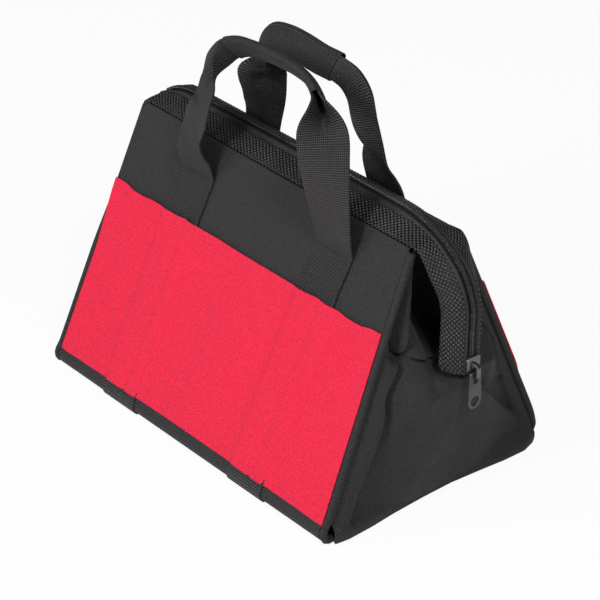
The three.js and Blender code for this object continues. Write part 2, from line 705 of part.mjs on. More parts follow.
// Places along a handle, with the directions of its width and of its folded arms
function handleStations(curve, facing, turning, distances) {
  const length = curve.getLength();
  const sewn = new THREE.Vector3(0, -facing * UP_SLOPE.y, UP_SLOPE.z);
  return distances.map((s) => {
    const point = curve.getPointAt(s / length);
    const nearest = Math.min(s, length - s);
    const rising = sewn.clone().multiplyScalar(s < length / 2 ? 1 : -1);
    const along = rising.lerp(curve.getTangentAt(s / length), smooth(nearest / SEWN_RUN)).normalize();
    const flat = new THREE.Vector3(0, facing, 0);
    flat.addScaledVector(along, -flat.dot(along)).normalize();
    const outward = new THREE.Vector3().crossVectors(flat, along).multiplyScalar(-facing);
    const gripStart = (length - SLEEVE_LENGTH) / 2;
    const tilt = GRIP_TILT * smooth(nearest / gripStart) ** (s < length / 2 ? turning.left : turning.right);
    const arms = flat.clone().multiplyScalar(Math.cos(tilt)).addScaledVector(outward, Math.sin(tilt));
    const width = new THREE.Vector3().crossVectors(arms, along);
    return { s, point, arms, width };
  });
}

function placed({ point, arms, width }, section) {
  return section.map(([a, b]) => point.clone().addScaledVector(width, a).addScaledVector(arms, b));
}

function buildHandle(side, facing) {
  const { route, sleeveShift, turning } = HANDLES[side];
  const root = (line) => onSlope(line[1], SEWN_TOP + HANDLE_GAP, (SEAT + STRAP_OUTER) / 2, facing);
  const { left, right } = STRAP_LINES[side];
  const knots = [root(left), ...route.map((p) => new THREE.Vector3(...p)), root(right)];
  const curve = new THREE.CatmullRomCurve3(knots, false, 'centripetal');
  curve.arcLengthDivisions = 800;
  const length = curve.getLength();
  const sleeveFrom = (length - SLEEVE_LENGTH) / 2 + sleeveShift;
  const foldedHalf = SLEEVE_LENGTH / 2 + Math.abs(sleeveShift);
  const closing = (s) => FOLD_ANGLE * (1 - smooth((Math.abs(s - length / 2) - foldedHalf) / FOLD_RUN));

  const stations = handleStations(curve, facing, turning, spaced(0, length, HANDLE_STEP));
  const sections = stations.map(({ s }) => foldedSection(closing(s)));
  const outer = stations.map((station, index) => placed(station, sections[index].low));
  const inner = stations.map((station, index) => placed(station, sections[index].high));
  add(`${side}_handle_webbing`, slab(outer, inner), materials.webbing);

  const closed = foldedSection(FOLD_ANGLE);
  const all = [...closed.low, ...closed.high];
  const halfWide = Math.max(...all.map(([a]) => a)) + SLEEVE_ROOM;
  const halfTall = Math.max(...all.map(([, b]) => Math.abs(b))) + SLEEVE_ROOM;
  const oval = (wide, tall, corner) => [
    [wide, tall - corner], [wide - corner, tall], [corner - wide, tall], [-wide, tall - corner],
    [-wide, corner - tall], [corner - wide, -tall], [wide - corner, -tall], [wide, corner - tall],
  ];
  const sleeveRun = spaced(sleeveFrom, sleeveFrom + SLEEVE_LENGTH, SLEEVE_STEP);
  const around = handleStations(curve, facing, turning, sleeveRun);
  const corner = 1;
  const outside = oval(halfWide + SLEEVE_THICKNESS, halfTall + SLEEVE_THICKNESS, corner + SLEEVE_THICKNESS);
  const inside = oval(halfWide, halfTall, corner / 2);
  const sleeve = ringBody(around.map((st) => placed(st, outside)), around.map((st) => placed(st, inside)));
  add(`${side}_grip_sleeve`, sleeve, materials.fabric);
}

// The slider in its own frame: X out of the bag, Y across the zip, Z up the zip
function buildSlider() {
  const plateInner = COIL_THICKNESS / 2 + COIL_PLAY;
  const plateOuter = plateInner + SLIDER_PLATE;
  const lipInner = TAPE_THICKNESS / 2 + COIL_PLAY;
  const lipFrom = COIL_OUTER + COIL_PLAY;
  const half = SLIDER_WIDTH / 2;
  const tall = SLIDER_HEIGHT / 2;
  const outline = [
    [-half + SLIDER_CORNER, -tall], [half - SLIDER_CORNER, -tall], [half, -tall + 2 * SLIDER_CORNER],
    [half, tall - SLIDER_CORNER / 2], [half - SLIDER_CORNER / 2, tall], [-half + SLIDER_CORNER / 2, tall],
    [-half, tall - SLIDER_CORNER / 2], [-half, -tall + 2 * SLIDER_CORNER],
  ];
  const facingOut = (geometry) => {
    const turn = new THREE.Matrix4().makeBasis(
      new THREE.Vector3(0, 1, 0),
      new THREE.Vector3(0, 0, 1),
      new THREE.Vector3(1, 0, 0),
    );
    return geometry.applyMatrix4(turn);
  };
  const box = (x0, x1, y0, y1, z0, z1) => {
    const geometry = new THREE.BoxGeometry(x1 - x0, y1 - y0, z1 - z0);
    geometry.translate((x0 + x1) / 2, (y0 + y1) / 2, (z0 + z1) / 2);
    return geometry;
  };
  const pieces = [
    facingOut(plate(outline, plateInner, plateOuter)),
    facingOut(plate(outline, -plateOuter, -plateInner)),
    box(-plateOuter + 0.2, plateOuter - 0.2, -NECK_THICKNESS / 2, NECK_THICKNESS / 2, tall - NECK_HEIGHT, tall - 0.1),
  ];
  const lipTop = tall - SLIDER_CORNER;
  const lipBottom = -tall + 2 * SLIDER_CORNER;
  for (const sign of [-1, 1]) {
    const edges = [sign * lipFrom, sign * (half - 0.05)].sort((a, b) => a - b);
    pieces.push(box(lipInner, plateInner + 0.4, ...edges, lipBottom, lipTop));
    pieces.push(box(-plateInner - 0.4, -lipInner, ...edges, lipBottom, lipTop));
  }
  const pinX = plateOuter + PIN_OFF_PLATE;
  const archInner = pinX + BRIDGE_BELOW_PIN;
  const archOuter = archInner + BRIDGE_THICKNESS;
  const low = -PIN_BELOW_MIDDLE - BRIDGE_BELOW_PIN;
  const high = -PIN_BELOW_MIDDLE + BRIDGE_ABOVE_PIN;
  const root = plateOuter - 0.2;
  const chamfer = BRIDGE_THICKNESS * 0.7;
  const bridge = new THREE.Shape([
    [root, low - BRIDGE_THICKNESS], [archOuter - chamfer, low - BRIDGE_THICKNESS], [archOuter, low],
    [archOuter, high], [archOuter - chamfer, high + BRIDGE_THICKNESS], [root, high + BRIDGE_THICKNESS],
    [root, high], [archInner, high], [archInner, low], [root, low],
  ].map(([x, z]) => new THREE.Vector2(x, z)));
  const arch = new THREE.ExtrudeGeometry(bridge, { depth: BRIDGE_WIDTH, bevelEnabled: false });
  arch.rotateX(Math.PI / 2);
  arch.translate(0, BRIDGE_WIDTH / 2, 0);
  pieces.push(arch);

  const slider = add('slider_body', joined(pieces), materials.metal);
  slider.position.set(HANG_X, 0, SLIDER_AT);
  return { pinX };
}

function buildTab(pinX) {
  const top = TAB_PIN_HALF;
  const bottom = top - TAB_LENGTH;
  const wide = TAB_TOP_WIDTH / 2;
  const low = TAB_LOW_WIDTH / 2;
  const outline = new THREE.Shape();
  outline.moveTo(wide - 1, top);
  outline.lineTo(wide, top - 1);
  outline.lineTo(low, bottom + low);
  outline.absarc(0, bottom + low, low, 0, Math.PI, true);
  outline.lineTo(-wide, top - 1);
  outline.lineTo(1 - wide, top);
  outline.closePath();

  const windowHalf = BRIDGE_WIDTH / 2 + TAB_WINDOW_PLAY;
  const opening = new THREE.Path();
  opening.moveTo(-windowHalf, -TAB_PIN_HALF);
  opening.lineTo(-windowHalf, -TAB_PIN_HALF - TAB_WINDOW);
  opening.lineTo(windowHalf, -TAB_PIN_HALF - TAB_WINDOW);
  opening.lineTo(windowHalf, -TAB_PIN_HALF);
  opening.closePath();
  const ring = new THREE.Path();
  ring.absarc(0, bottom + TAB_RIM + TAB_HOLE_RADIUS, TAB_HOLE_RADIUS, 0, Math.PI * 2, false);
  outline.holes.push(opening, ring);

  const geometry = new THREE.ExtrudeGeometry(outline, { depth: TAB_THICKNESS, bevelEnabled: false, curveSegments: 10 });
  geometry.translate(0, 0, -TAB_THICKNESS / 2);
  const turn = new THREE.Matrix4().makeBasis(
    new THREE.Vector3(0, 1, 0),
    new THREE.Vector3(0, 0, 1),
    new THREE.Vector3(1, 0, 0),
  );
  geometry.applyMatrix4(turn);
  add('pull_tab', geometry, materials.metal).position.set(HANG_X + pinX, 0, SLIDER_AT - PIN_BELOW_MIDDLE);
}

buildBase();
buildGussets();
buildTongue();
for (const [side, facing] of [['front', -1], ['back', 1]]) {
  buildSide(side, facing);
  buildHandle(side, facing);
}
const { pinX } = buildSlider();
buildTab(pinX);

export default bag;
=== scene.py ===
"""Looks of the zippered tool bag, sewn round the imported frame.

Lengths below are in millimetres and heights start at the base's underside, as in the part's
own source. The bag stands on two straps, so the floor lies STRAP_OUTER lower.
"""

import math

import bmesh
import bpy
import numpy as np
from mathutils import Matrix, Vector, noise


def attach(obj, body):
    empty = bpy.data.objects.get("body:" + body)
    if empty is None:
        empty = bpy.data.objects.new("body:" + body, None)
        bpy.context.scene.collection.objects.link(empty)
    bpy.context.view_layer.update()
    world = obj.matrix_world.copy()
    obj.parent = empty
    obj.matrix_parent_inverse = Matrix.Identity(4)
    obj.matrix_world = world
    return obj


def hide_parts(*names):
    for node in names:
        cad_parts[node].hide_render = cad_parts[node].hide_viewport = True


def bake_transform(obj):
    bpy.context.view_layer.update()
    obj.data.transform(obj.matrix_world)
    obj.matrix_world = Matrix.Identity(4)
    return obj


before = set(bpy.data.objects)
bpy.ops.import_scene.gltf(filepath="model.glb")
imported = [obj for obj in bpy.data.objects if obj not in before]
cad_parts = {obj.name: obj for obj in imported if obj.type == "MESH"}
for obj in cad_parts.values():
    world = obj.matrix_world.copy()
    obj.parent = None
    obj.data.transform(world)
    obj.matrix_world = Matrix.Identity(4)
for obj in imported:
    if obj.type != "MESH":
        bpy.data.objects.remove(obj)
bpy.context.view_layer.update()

MM = 0.001

# Main sizes of the bag
BASE_LENGTH = 320
BASE_DEPTH = 220
TOP_LENGTH = 303
TOP_GAP = 44
TOP_HEIGHT = 203
BASE_CORNER_RADIUS = 8

# Sheet materials
PANEL_THICKNESS = 2.2
POCKET_THICKNESS = 0.9
WEBBING_WIDTH = 38
WEBBING_THICKNESS = 1.8
TAPE_THICKNESS = 0.8
BAND_THICKNESS = 1.7
GUSSET_THICKNESS = 1.4
SLEEVE_THICKNESS = 1.1
SEAT = 0.3

# Piping cord
PIPING_RADIUS = 2.75
PIPING_SUNK = 1
PIPING_SHORT_OF_TOP = 3

# Pockets and straps, measured up the slope of a side
POCKET_LOW = 12.9
POCKET_HIGH = 157
POCKET_HEM = 8
SEWN_TOP = 193.3
STRAP_LINES = {
    -1: {"left": (-77, -69.5), "right": (72, 83)},
    1: {"left": (-77, -76), "right": (72, 65)},
}
SEAM_LINES = {
    -1: {"left": (-73, -65.5), "right": (75, 86.5)},
    1: STRAP_LINES[1],
}

# Zip line
RIDGE_HALF = 112
RIDGE_CROWN = 0.8
BEND_RUN = 76
BEND_DROP = 58.5
HANG_TOP = 158
HANG_BOTTOM = 110
SHUT_RUN = 52
SHUT_DROP = 42
SHUT_REACH = 149.5
SHUT_CORNER = 6
TOOTH_PITCH = 1.5
TOOTH_ROUND = 0.2
TOOTH_HALF_WIDE = 0.6
TOOTH_HALF_TALL = 1.3
BAND_VISIBLE = 17.4
BAND_MITRE = 0.6
TAPE_NEAR = 4.9
TAPE_LEAST = 1.5
TAPE_WIDTH = 10.5
TONGUE_HALF_WIDTH = 24.9
TONGUE_SHORT_OF_COIL = 4
TONGUE_HEM = 13
HEM_TURN = 3
TONGUE_CORNER = 8
TONGUE_FOLD = math.radians(52)
TONGUE_FOLD_START = 155
TONGUE_FOLD_RUN = 45
TONGUE_HINGE = 7.3

# Handles
HANDLE_GAP = 0.6
FOLD_ROUND = 3.2
FOLD_ANGLE = math.radians(88)
SEWN_RUN = 16
GRIP_TILT = math.radians(50)
SLEEVE_LENGTH = 98
SLEEVE_HALF_WIDE = 3.55
SLEEVE_HALF_TALL = 11
HANDLES = {
    -1: {
        "sleeve_shift": 0,
        "turning": (3.5, 1.2),
        "twist": math.radians(22),
        "opening": (38, 38),
        "route": [
            (-71, -38, 196), (-68.5, -39, 216), (-61, -38, 233), (-58, -34, 251),
            (-54.5, -28, 268), (-47.5, -22.5, 281.5), (-35, -20, 288.5), (-18, -20, 291.5), (2, -20, 293),
            (22, -20, 292.5), (38, -20, 289), (50, -22.5, 282.5), (60, -27.5, 274), (69, -34, 262),
            (75, -38, 246), (79, -39, 228), (82, -38.5, 210), (83.5, -37.5, 196),
        ],
    },
    1: {
        "sleeve_shift": -20,
        "turning": (1.2, 1.2),
        "twist": 0.0,
        "opening": (15, 44),
        "route": [
            (-75, 33.5, 192), (-70, 29, 208), (-64, 24.5, 228), (-62, 21.5, 248),
            (-59, 20, 266), (-50, 20, 278.5), (-34, 20, 282.5), (-16, 20, 282.5), (4, 20, 280.5),
            (24, 20, 280.2), (37, 20, 277), (46, 20.5, 268), (50, 22, 252), (53.8, 24.5, 234),
            (57.5, 28, 214), (60.5, 31, 203), (64.3, 33.2, 190),
        ],
    },
}

# Gusset rows: share of the height, share of the way out or in, and how wide the middle is
FOLD_BELOW_HEM = 6
FOLD_BEHIND_HEM = 1.3
HOLLOW_DEPTH = 55
GUSSET_LOW = 5.4
GUSSET_TOP = 201
BELOW_FOLD = [(0, 0, 0.2), (0.11, 0.27, 0.25), (0.37, 0.53, 0.3), (0.67, 0.75, 0.36), (0.91, 0.95, 0.42)]
ABOVE_FOLD = [
    (0, 0, 0.46), (0.05, 0.28, 0.42), (0.12, 0.37, 0.42), (0.23, 0.44, 0.36),
    (0.36, 0.69, 0.32), (0.57, 0.89, 0.3), (0.79, 0.98, 0.3), (1, 1, 0.3),
]

# Values that follow from the sizes above
SLOPE_RUN = (BASE_DEPTH - TOP_GAP) / 2
SLOPE_LENGTH = math.hypot(SLOPE_RUN, TOP_HEIGHT)
UP_Y, UP_Z = SLOPE_RUN / SLOPE_LENGTH, TOP_HEIGHT / SLOPE_LENGTH
OUT_Y, OUT_Z = -UP_Z, UP_Y
OUT_ANGLE = math.atan2(OUT_Z, OUT_Y)
CORNER_REACH = BASE_CORNER_RADIUS / math.tan((math.pi / 2 - math.asin(UP_Y)) / 2)
CORNER_Y = BASE_DEPTH / 2 - CORNER_REACH
CORNER_ARC = BASE_CORNER_RADIUS * (1.5 * math.pi - OUT_ANGLE)
EDGE_TAPER = (BASE_LENGTH - TOP_LENGTH) / 2 / SLOPE_LENGTH
STRAP_OUTER = 2.1
RIDGE_LOW = HANG_TOP + BEND_DROP
HANG_X = RIDGE_HALF + BEND_RUN
TONGUE_BOTTOM = HANG_BOTTOM + TONGUE_SHORT_OF_COIL
SIDES = {"front": -1, "back": 1}
HANDS = {"left": -1, "right": 1}


# ---------------------------------------------------------------- camera

def set_camera():
    """Where the photographer stood: well above the bag, off its front right corner"""
    data = bpy.data.cameras.new("camera")
    data.sensor_width = 36
    data.lens = 149.354
    data.shift_x = 0.011
    data.shift_y = -0.0622
    data.clip_end = 20
    camera = bpy.data.objects.new("camera", data)
    right = Vector((0.65285196, 0.75745473, 0.00683055))
    up = Vector((-0.38464188, 0.32372842, 0.86443654))
    back = Vector((0.6525603, -0.56697641, 0.50269554))
    turn = Matrix((right, up, back)).transposed().to_4x4()
    camera.matrix_world = Matrix.Translation((1.2072366, -1.0489064, 1.0499868)) @ turn
    bpy.context.scene.collection.objects.link(camera)
    bpy.context.scene.camera = camera


set_camera()


# ---------------------------------------------------------------- finishes

def linear(code):
    """An sRGB hex colour as the linear colour that a shader takes"""
    parts = [int(code[i:i + 2], 16) / 255 for i in (1, 3, 5)]
    return tuple(p / 12.92 if p <= 0.04045 else ((p + 0.055) / 1.055) ** 2.4 for p in parts) + (1,)


def add(tree, kind, settings, links=()):
    """A node with its settings and links; a setting named for a socket fills that socket"""
    made = tree.nodes.new(kind)
    for name, value in settings.items():
        if isinstance(name, int) or name in made.inputs:
            made.inputs[name].default_value = value
        else:
            setattr(made, name, value)
    for name, source in links:
        tree.links.new(source, made.inputs[name])
    return made


def new_finish(name, roughness, ior, metallic=0.0):
    material = bpy.data.materials.new(name)
    material.use_nodes = True
    shader = material.node_tree.nodes["Principled BSDF"]
    shader.inputs["Roughness"].default_value = roughness
    shader.inputs["IOR"].default_value = ior
    shader.inputs["Metallic"].default_value = metallic
    return material, material.node_tree, shader


def threads_crossing(tree, warp, weft, crowned):
    """Threads that pass over and under each other, one thread every warp and weft millimetres.
    Crowned threads show a smaller painted highlight on their backs."""
    cut = add(tree, "ShaderNodeUVMap", {"uv_map": "cut"})
    waves = [
        add(tree, "ShaderNodeTexWave", {
            "wave_type": "BANDS", "bands_direction": axis, "wave_profile": "SIN",
            "Scale": math.pi / 10 / (2 * spacing * MM), "Distortion": 0.0,
        }, [("Vector", cut.outputs["UV"])])
        for axis, spacing in (("X", warp), ("Y", weft))
    ]
    crossing = add(tree, "ShaderNodeMath", {"operation": "SUBTRACT"},
                   [(0, waves[0].outputs["Fac"]), (1, waves[1].outputs["Fac"])])
    over = add(tree, "ShaderNodeMath", {"operation": "ABSOLUTE"}, [(0, crossing.outputs[0])])
    return add(tree, "ShaderNodeMath", {"operation": "POWER", 1: crowned}, [(0, over.outputs[0])])


def patches(tree, size, detail=3.0):
    """Soft uneven patches about size millimetres across, through the whole bag"""
    place = add(tree, "ShaderNodeTexCoord", {})
    return add(tree, "ShaderNodeTexNoise", {"Scale": 1 / (size * MM), "Detail": detail, "Roughness": 0.6},
               [("Vector", place.outputs["Object"])])


def woven(name, dark, light, warp, weft, relief, roughness, ior, worn, mottle, crowned=1.0):
    """A woven cloth: thread relief, painted shade between the threads and painted highlight on their
    backs, and handling that dulls it.
    Loose fibres scatter much of the light that a film of the same plastic would mirror."""
    material, tree, shader = new_finish(name, roughness, ior)
    shader.inputs["Specular IOR Level"].default_value = 0.3
    threads = threads_crossing(tree, warp, weft, crowned)
    handled = patches(tree, 34)
    slubs = patches(tree, 1.5, 2.0)
    # Painted weave light: dark is painted shade in the gaps between threads, light is the threads' lit
    # backs
    hollow = add(tree, "ShaderNodeMix", {"data_type": "RGBA", 6: linear(dark), 7: linear(light)},
                 [(0, threads.outputs[0])])
    spread = add(tree, "ShaderNodeMapRange", {
        "From Min": 0.3, "From Max": 0.7, "To Min": 0.0, "To Max": 0.4,
    }, [("Value", handled.outputs["Fac"])])
    tone = add(tree, "ShaderNodeMix", {"data_type": "RGBA", 7: linear(worn)},
               [(0, spread.outputs[0]), (6, hollow.outputs[2])])
    speck = add(tree, "ShaderNodeMapRange", {
        "From Min": 0.4, "From Max": 0.6, "To Min": 1 - mottle, "To Max": 1 + mottle,
    }, [("Value", slubs.outputs["Fac"])])
    grain = add(tree, "ShaderNodeMix", {"data_type": "RGBA", "blend_type": "MULTIPLY", 0: 1.0},
                [(6, tone.outputs[2]), (7, speck.outputs[0])])
    tree.links.new(grain.outputs[2], shader.inputs["Base Color"])
    height = add(tree, "ShaderNodeMath", {"operation": "MULTIPLY_ADD", 1: 0.35},
                 [(0, slubs.outputs["Fac"]), (2, threads.outputs[0])])
    bump = add(tree, "ShaderNodeBump", {"Strength": 0.7, "Distance": relief * MM},
               [("Height", height.outputs[0])])
    tree.links.new(bump.outputs["Normal"], shader.inputs["Normal"])
    shine = add(tree, "ShaderNodeMapRange", {"To Min": roughness - 0.07, "To Max": roughness + 0.05},
                [("Value", handled.outputs["Fac"])])
    tree.links.new(shine.outputs[0], shader.inputs["Roughness"])
    return material


def black_oxford():
    """600 denier polyester oxford, coated on its back: a matt charcoal cloth whose plain weave
    shows as a fine grain of painted shade between the threads. The real threads lie 0.5 mm apart,
    too fine to show, so they are drawn 1.1 mm apart."""
    made = woven(
        "polyester_oxford_woven_black", dark="#161617", light="#303032", warp=1.1, weft=1.1,
        relief=0.4, roughness=0.72, ior=1.57, worn="#232325", mottle=0.3,
    )
    made.node_tree.nodes["Principled BSDF"].inputs["Sheen Weight"].default_value = 0.03
    return made


def rose_oxford():
    """The same oxford dyed rose red: saturated, matt, with the weave's slight diagonal painted shade.
    Its threads too are drawn 1.1 mm apart."""
    made = woven(
        "polyester_oxford_woven_rose_red", dark="#c60d30", light="#f0214b", warp=1.1, weft=1.1,
        relief=0.2, roughness=0.8, ior=1.57, worn="#e0173e", mottle=0.12,
    )
    made.node_tree.nodes["Principled BSDF"].inputs["Sheen Weight"].default_value = 0.02
    return made


def basket_band():
    """Polypropylene binding tape in a coarse 2 mm basket weave: the threads' rounded backs
    carry a painted highlight one by one, with painted shade between them."""
    return woven(
        "polypropylene_tape_basket_woven", dark="#010101", light="#666668", warp=1.7, weft=1.9,
        relief=1.2, roughness=0.5, ior=1.49, worn="#101011", mottle=0.25, crowned=2.0,
    )


def zip_cloth():
    """Polyester zip tape, a tight twill ribbon: smoother and a little lighter than the cloth.
    Its 0.4 mm threads are drawn 0.9 mm apart, with painted shade between them."""
    return woven(
        "polyester_zip_tape_woven", dark="#18181a", light="#303032", warp=0.9, weft=0.9,
        relief=0.2, roughness=0.62, ior=1.57, worn="#252527", mottle=0.12,
    )


def strap_webbing():
    """Polypropylene webbing: a rib across it every 1.6 mm with painted shade between the ribs,
    and a fine speckle of painted highlight where each warp thread turns over a rib."""
    roughness = 0.6
    material, tree, shader = new_finish("polypropylene_webbing_ribbed", roughness, 1.49)
    cut = add(tree, "ShaderNodeUVMap", {"uv_map": "cut"})
    ribs = add(tree, "ShaderNodeTexWave", {
        "wave_type": "BANDS", "bands_direction": "Y", "wave_profile": "SIN",
        "Scale": math.pi / 10 / (1.65 * MM), "Distortion": 0.25, "Detail": 1.0, "Detail Scale": 3.0,
    }, [("Vector", cut.outputs["UV"])])
    warps = add(tree, "ShaderNodeTexWave", {
        "wave_type": "BANDS", "bands_direction": "X", "wave_profile": "SIN",
        "Scale": math.pi / 10 / (1.5 * MM), "Distortion": 0.0,
    }, [("Vector", cut.outputs["UV"])])
    turned = add(tree, "ShaderNodeMath", {"operation": "MULTIPLY"},
                 [(0, ribs.outputs["Fac"]), (1, warps.outputs["Fac"])])
    painted_turn_highlight = add(tree, "ShaderNodeMath", {"operation": "POWER", 1: 2.0}, [(0, turned.outputs[0])])
    height = add(tree, "ShaderNodeMath", {"operation": "MULTIPLY_ADD", 1: 0.5},
                 [(0, turned.outputs[0]), (2, ribs.outputs["Fac"])])
    handled = patches(tree, 26)
    # Painted shade in the valleys between the ribs
    painted_rib_shade = add(tree, "ShaderNodeMix", {"data_type": "RGBA", 6: linear("#020202"), 7: linear("#161617")},
                 [(0, ribs.outputs["Fac"])])
    # Painted highlight where each warp thread turns over a rib
    speckle = add(tree, "ShaderNodeMix", {
        "data_type": "RGBA", "blend_type": "SCREEN", 7: linear("#626264"),
    }, [(0, painted_turn_highlight.outputs[0]), (6, painted_rib_shade.outputs[2])])
    shade = add(tree, "ShaderNodeMapRange", {
        "From Min": 0.3, "From Max": 0.7, "To Min": 0.82, "To Max": 1.1,
    }, [("Value", handled.outputs["Fac"])])
    tone = add(tree, "ShaderNodeMix", {"data_type": "RGBA", "blend_type": "MULTIPLY", 0: 1.0},
               [(6, speckle.outputs[2]), (7, shade.outputs[0])])
    tree.links.new(tone.outputs[2], shader.inputs["Base Color"])
    bump = add(tree, "ShaderNodeBump", {"Strength": 1.0, "Distance": 0.5 * MM},
               [("Height", height.outputs[0])])
    tree.links.new(bump.outputs["Normal"], shader.inputs["Normal"])
    return material


def plain_finish(name, low, high, size, relief, roughness, ior, metallic=0.0):
    """A moulded, cast or spun surface: two close tones in soft patches over a fine grain"""
    material, tree, shader = new_finish(name, roughness, ior, metallic)
    soft = patches(tree, size)
    tone = add(tree, "ShaderNodeMix", {"data_type": "RGBA", 6: linear(low), 7: linear(high)},
               [(0, soft.outputs["Fac"])])
    tree.links.new(tone.outputs[2], shader.inputs["Base Color"])
    grain = patches(tree, 0.9, 2.0)
    bump = add(tree, "ShaderNodeBump", {"Strength": 0.4, "Distance": relief * MM},
               [("Height", grain.outputs["Fac"])])
    tree.links.new(bump.outputs["Normal"], shader.inputs["Normal"])
    spread = add(tree, "ShaderNodeMapRange", {"To Min": roughness - 0.06, "To Max": roughness + 0.06},
                 [("Value", soft.outputs["Fac"])])
    tree.links.new(spread.outputs[0], shader.inputs["Roughness"])
    return material


def spun_thread(name, low, high):
    """Bonded polyester sewing thread, twisted: slightly glossier than the cloth it holds"""
    return plain_finish(name, low, high, 3, 0.05, 0.55, 1.57)


def pale_floor():
    """A sheet of white paper that the bag stands on. The camera sees it white, with the shadow."""
    material, tree, shader = new_finish("studio_paper_matt", 0.9, 1.45)
    shader.inputs["Base Color"].default_value = linear("#f4f4f4")
    shader.inputs["Specular IOR Level"].default_value = 0.0
    seen = add(tree, "ShaderNodeLightPath", {})
    white = add(tree, "ShaderNodeEmission", {"Color": (1, 1, 1, 1), "Strength": 1.0})
    share = add(tree, "ShaderNodeMath", {"operation": "MULTIPLY", 1: 0.93},
                [(0, seen.outputs["Is Camera Ray"])])
    mixed = add(tree, "ShaderNodeMixShader", {}, [
        (0, share.outputs[0]), (1, shader.outputs[0]), (2, white.outputs[0]),
    ])
    tree.links.new(mixed.outputs[0], tree.nodes["Material Output"].inputs["Surface"])
    return material


OXFORD = black_oxford()
ROSE = rose_oxford()
BAND = basket_band()
TAPE = zip_cloth()
WEBBING = strap_webbing()
# Extruded nylon coil: hard, smooth and black, so each tooth carries its own small highlight
COIL = plain_finish("nylon_coil_extruded", "#222223", "#3c3c3d", 5, 0.03, 0.26, 1.53)
# Zinc slider in smooth gunmetal plating that mirrors the soft boxes
SLIDER = plain_finish("zinc_die_cast_gunmetal_smooth", "#5c5c5e", "#858587", 4, 0.04, 0.26, 1.5, 0.9)
# Pull tab in tumbled gunmetal plating: its worn face is duller than its rims
TAB = plain_finish("zinc_die_cast_gunmetal_plate", "#4a4a4c", "#68686a", 3, 0.05, 0.36, 1.5, 0.85)
# Polypropylene board, calendered with a fine leather grain
BOARD = plain_finish("polypropylene_sheet_grained", "#303032", "#3c3c3e", 12, 0.2, 0.5, 1.49)
# The rose thread is drawn darker than the pocket: partly the thread's own red, partly painted shade of the
# stitches sunk into the cloth
RED_THREAD_WITH_SEAM_SHADE = spun_thread("polyester_thread_rose_red_seam_shade", "#b51c38", "#cf2545")
BLACK_THREAD = spun_thread("polyester_thread_black", "#1a1a1b", "#2b2b2c")


# ---------------------------------------------------------------- where cloth lies

def smooth(value):
    t = min(max(value, 0.0), 1.0)
    return t * t * (3 - 2 * t)


def mix(a, b, t):
    return a + (b - a) * t


def metres(x, y, z):
    return Vector((x * MM, y * MM, (z + STRAP_OUTER) * MM))


def soft_noise(a, b, size, seed):
    return noise.noise(Vector((a / size, b / size, seed)))


def relief(a, b, folds):
    """Soft folds and hollows at a place on the cloth: two ends, half width, rise"""
    total = 0.0
    for (a0, b0), (a1, b1), half, rise in folds:
        run_a, run_b = a1 - a0, b1 - b0
        t = ((a - a0) * run_a + (b - b0) * run_b) / (run_a * run_a + run_b * run_b)
        near = min(max(t, 0.0), 1.0)
        away = math.hypot(a - a0 - near * run_a, b - b0 - near * run_b)
        if away < 3 * half:
            total += rise * math.exp(-(away / half) ** 2)
    return total


def piping_x(v):
    return BASE_LENGTH / 2 - EDGE_TAPER * v - PIPING_RADIUS


def panel_half(v):
    return piping_x(v) - PIPING_RADIUS - 0.1


def on_slope(x, v, w, facing):
    y = -BASE_DEPTH / 2 + v * UP_Y + w * OUT_Y
    return x, -facing * y, v * UP_Z + w * OUT_Z


def slope_height(t):
    """How far up the slope a place t along the shell's cut lies, negative under the base"""
    return CORNER_REACH + t - CORNER_Y - CORNER_ARC


def round_base(x, t, lift, facing):
    """A cloth that starts under the middle of the base, turns the corner and climbs a side"""
    if t < CORNER_Y:
        return x, facing * t, -lift
    if t < CORNER_Y + CORNER_ARC:
        angle = 1.5 * math.pi - (t - CORNER_Y) / BASE_CORNER_RADIUS
        reach = BASE_CORNER_RADIUS + lift
        y = CORNER_Y - reach * math.cos(angle)
        return x, facing * y, BASE_CORNER_RADIUS + reach * math.sin(angle)
    return on_slope(x, slope_height(t), lift, facing)


# Folds in the sides' cloth as the front shows them: ends (x, v), half width, rise
SIDE_FOLDS = {
    -1: [
        ((-28, 150), (-46, 45), 13, -1.0), ((78, 62), (75, 20), 9, -0.5), ((145, 140), (155, 40), 5, -0.9),
        ((-143, 130), (-145, 95), 5, -0.5), ((-92, 72), (-124, 40), 12, -0.5),
        ((20, 140), (-4, 30), 22, 0.8), ((138, 207), (125, 160), 3.0, 0.9),
        ((132, 204), (119, 165), 5, -0.5), ((-20, 205), (10, 165), 16, 0.7),
        ((112, 120), (108, 50), 14, 0.6), ((-110, 130), (-120, 70), 12, 0.5),
    ],
    1: [
        ((30, 150), (44, 50), 14, -1.0), ((-70, 70), (-78, 20), 10, -0.6),
        ((-144, 140), (-152, 50), 6, -0.8),
        ((143, 120), (150, 60), 6, -0.5), ((0, 140), (10, 40), 22, 0.8), ((20, 205), (-20, 165), 16, 0.6),
        ((90, 80), (122, 44), 12, -0.5),
    ],
}


def belly(x, v, facing):
    """How far a side's cloth stands off its flat cut between the piping, base and zip"""
    across = max(1 - (abs(x) / panel_half(v)) ** 6, 0.0)
    room = across * smooth((v - 12) / 24) * smooth((190 - v) / 26)
    return room * (0.5 + 1.1 * soft_noise(x, v, 62, 4.0 + facing) + relief(x, v, SIDE_FOLDS[facing]))


def upper_crease(x, v, facing):
    """Creases in the strip of cloth over the pocket, above where the straps are sewn"""
    return 0.55 * soft_noise(x, v, 21, 9.0 + facing) * smooth((v - 150) / 12) * smooth((216 - v) / 10)


def strap_centre(facing, hand, v):
    low, high = STRAP_LINES[facing][hand]
    return mix(low, high, min(max((v - 12.6) / (SEWN_TOP - 12.6), 0.0), 1.0))


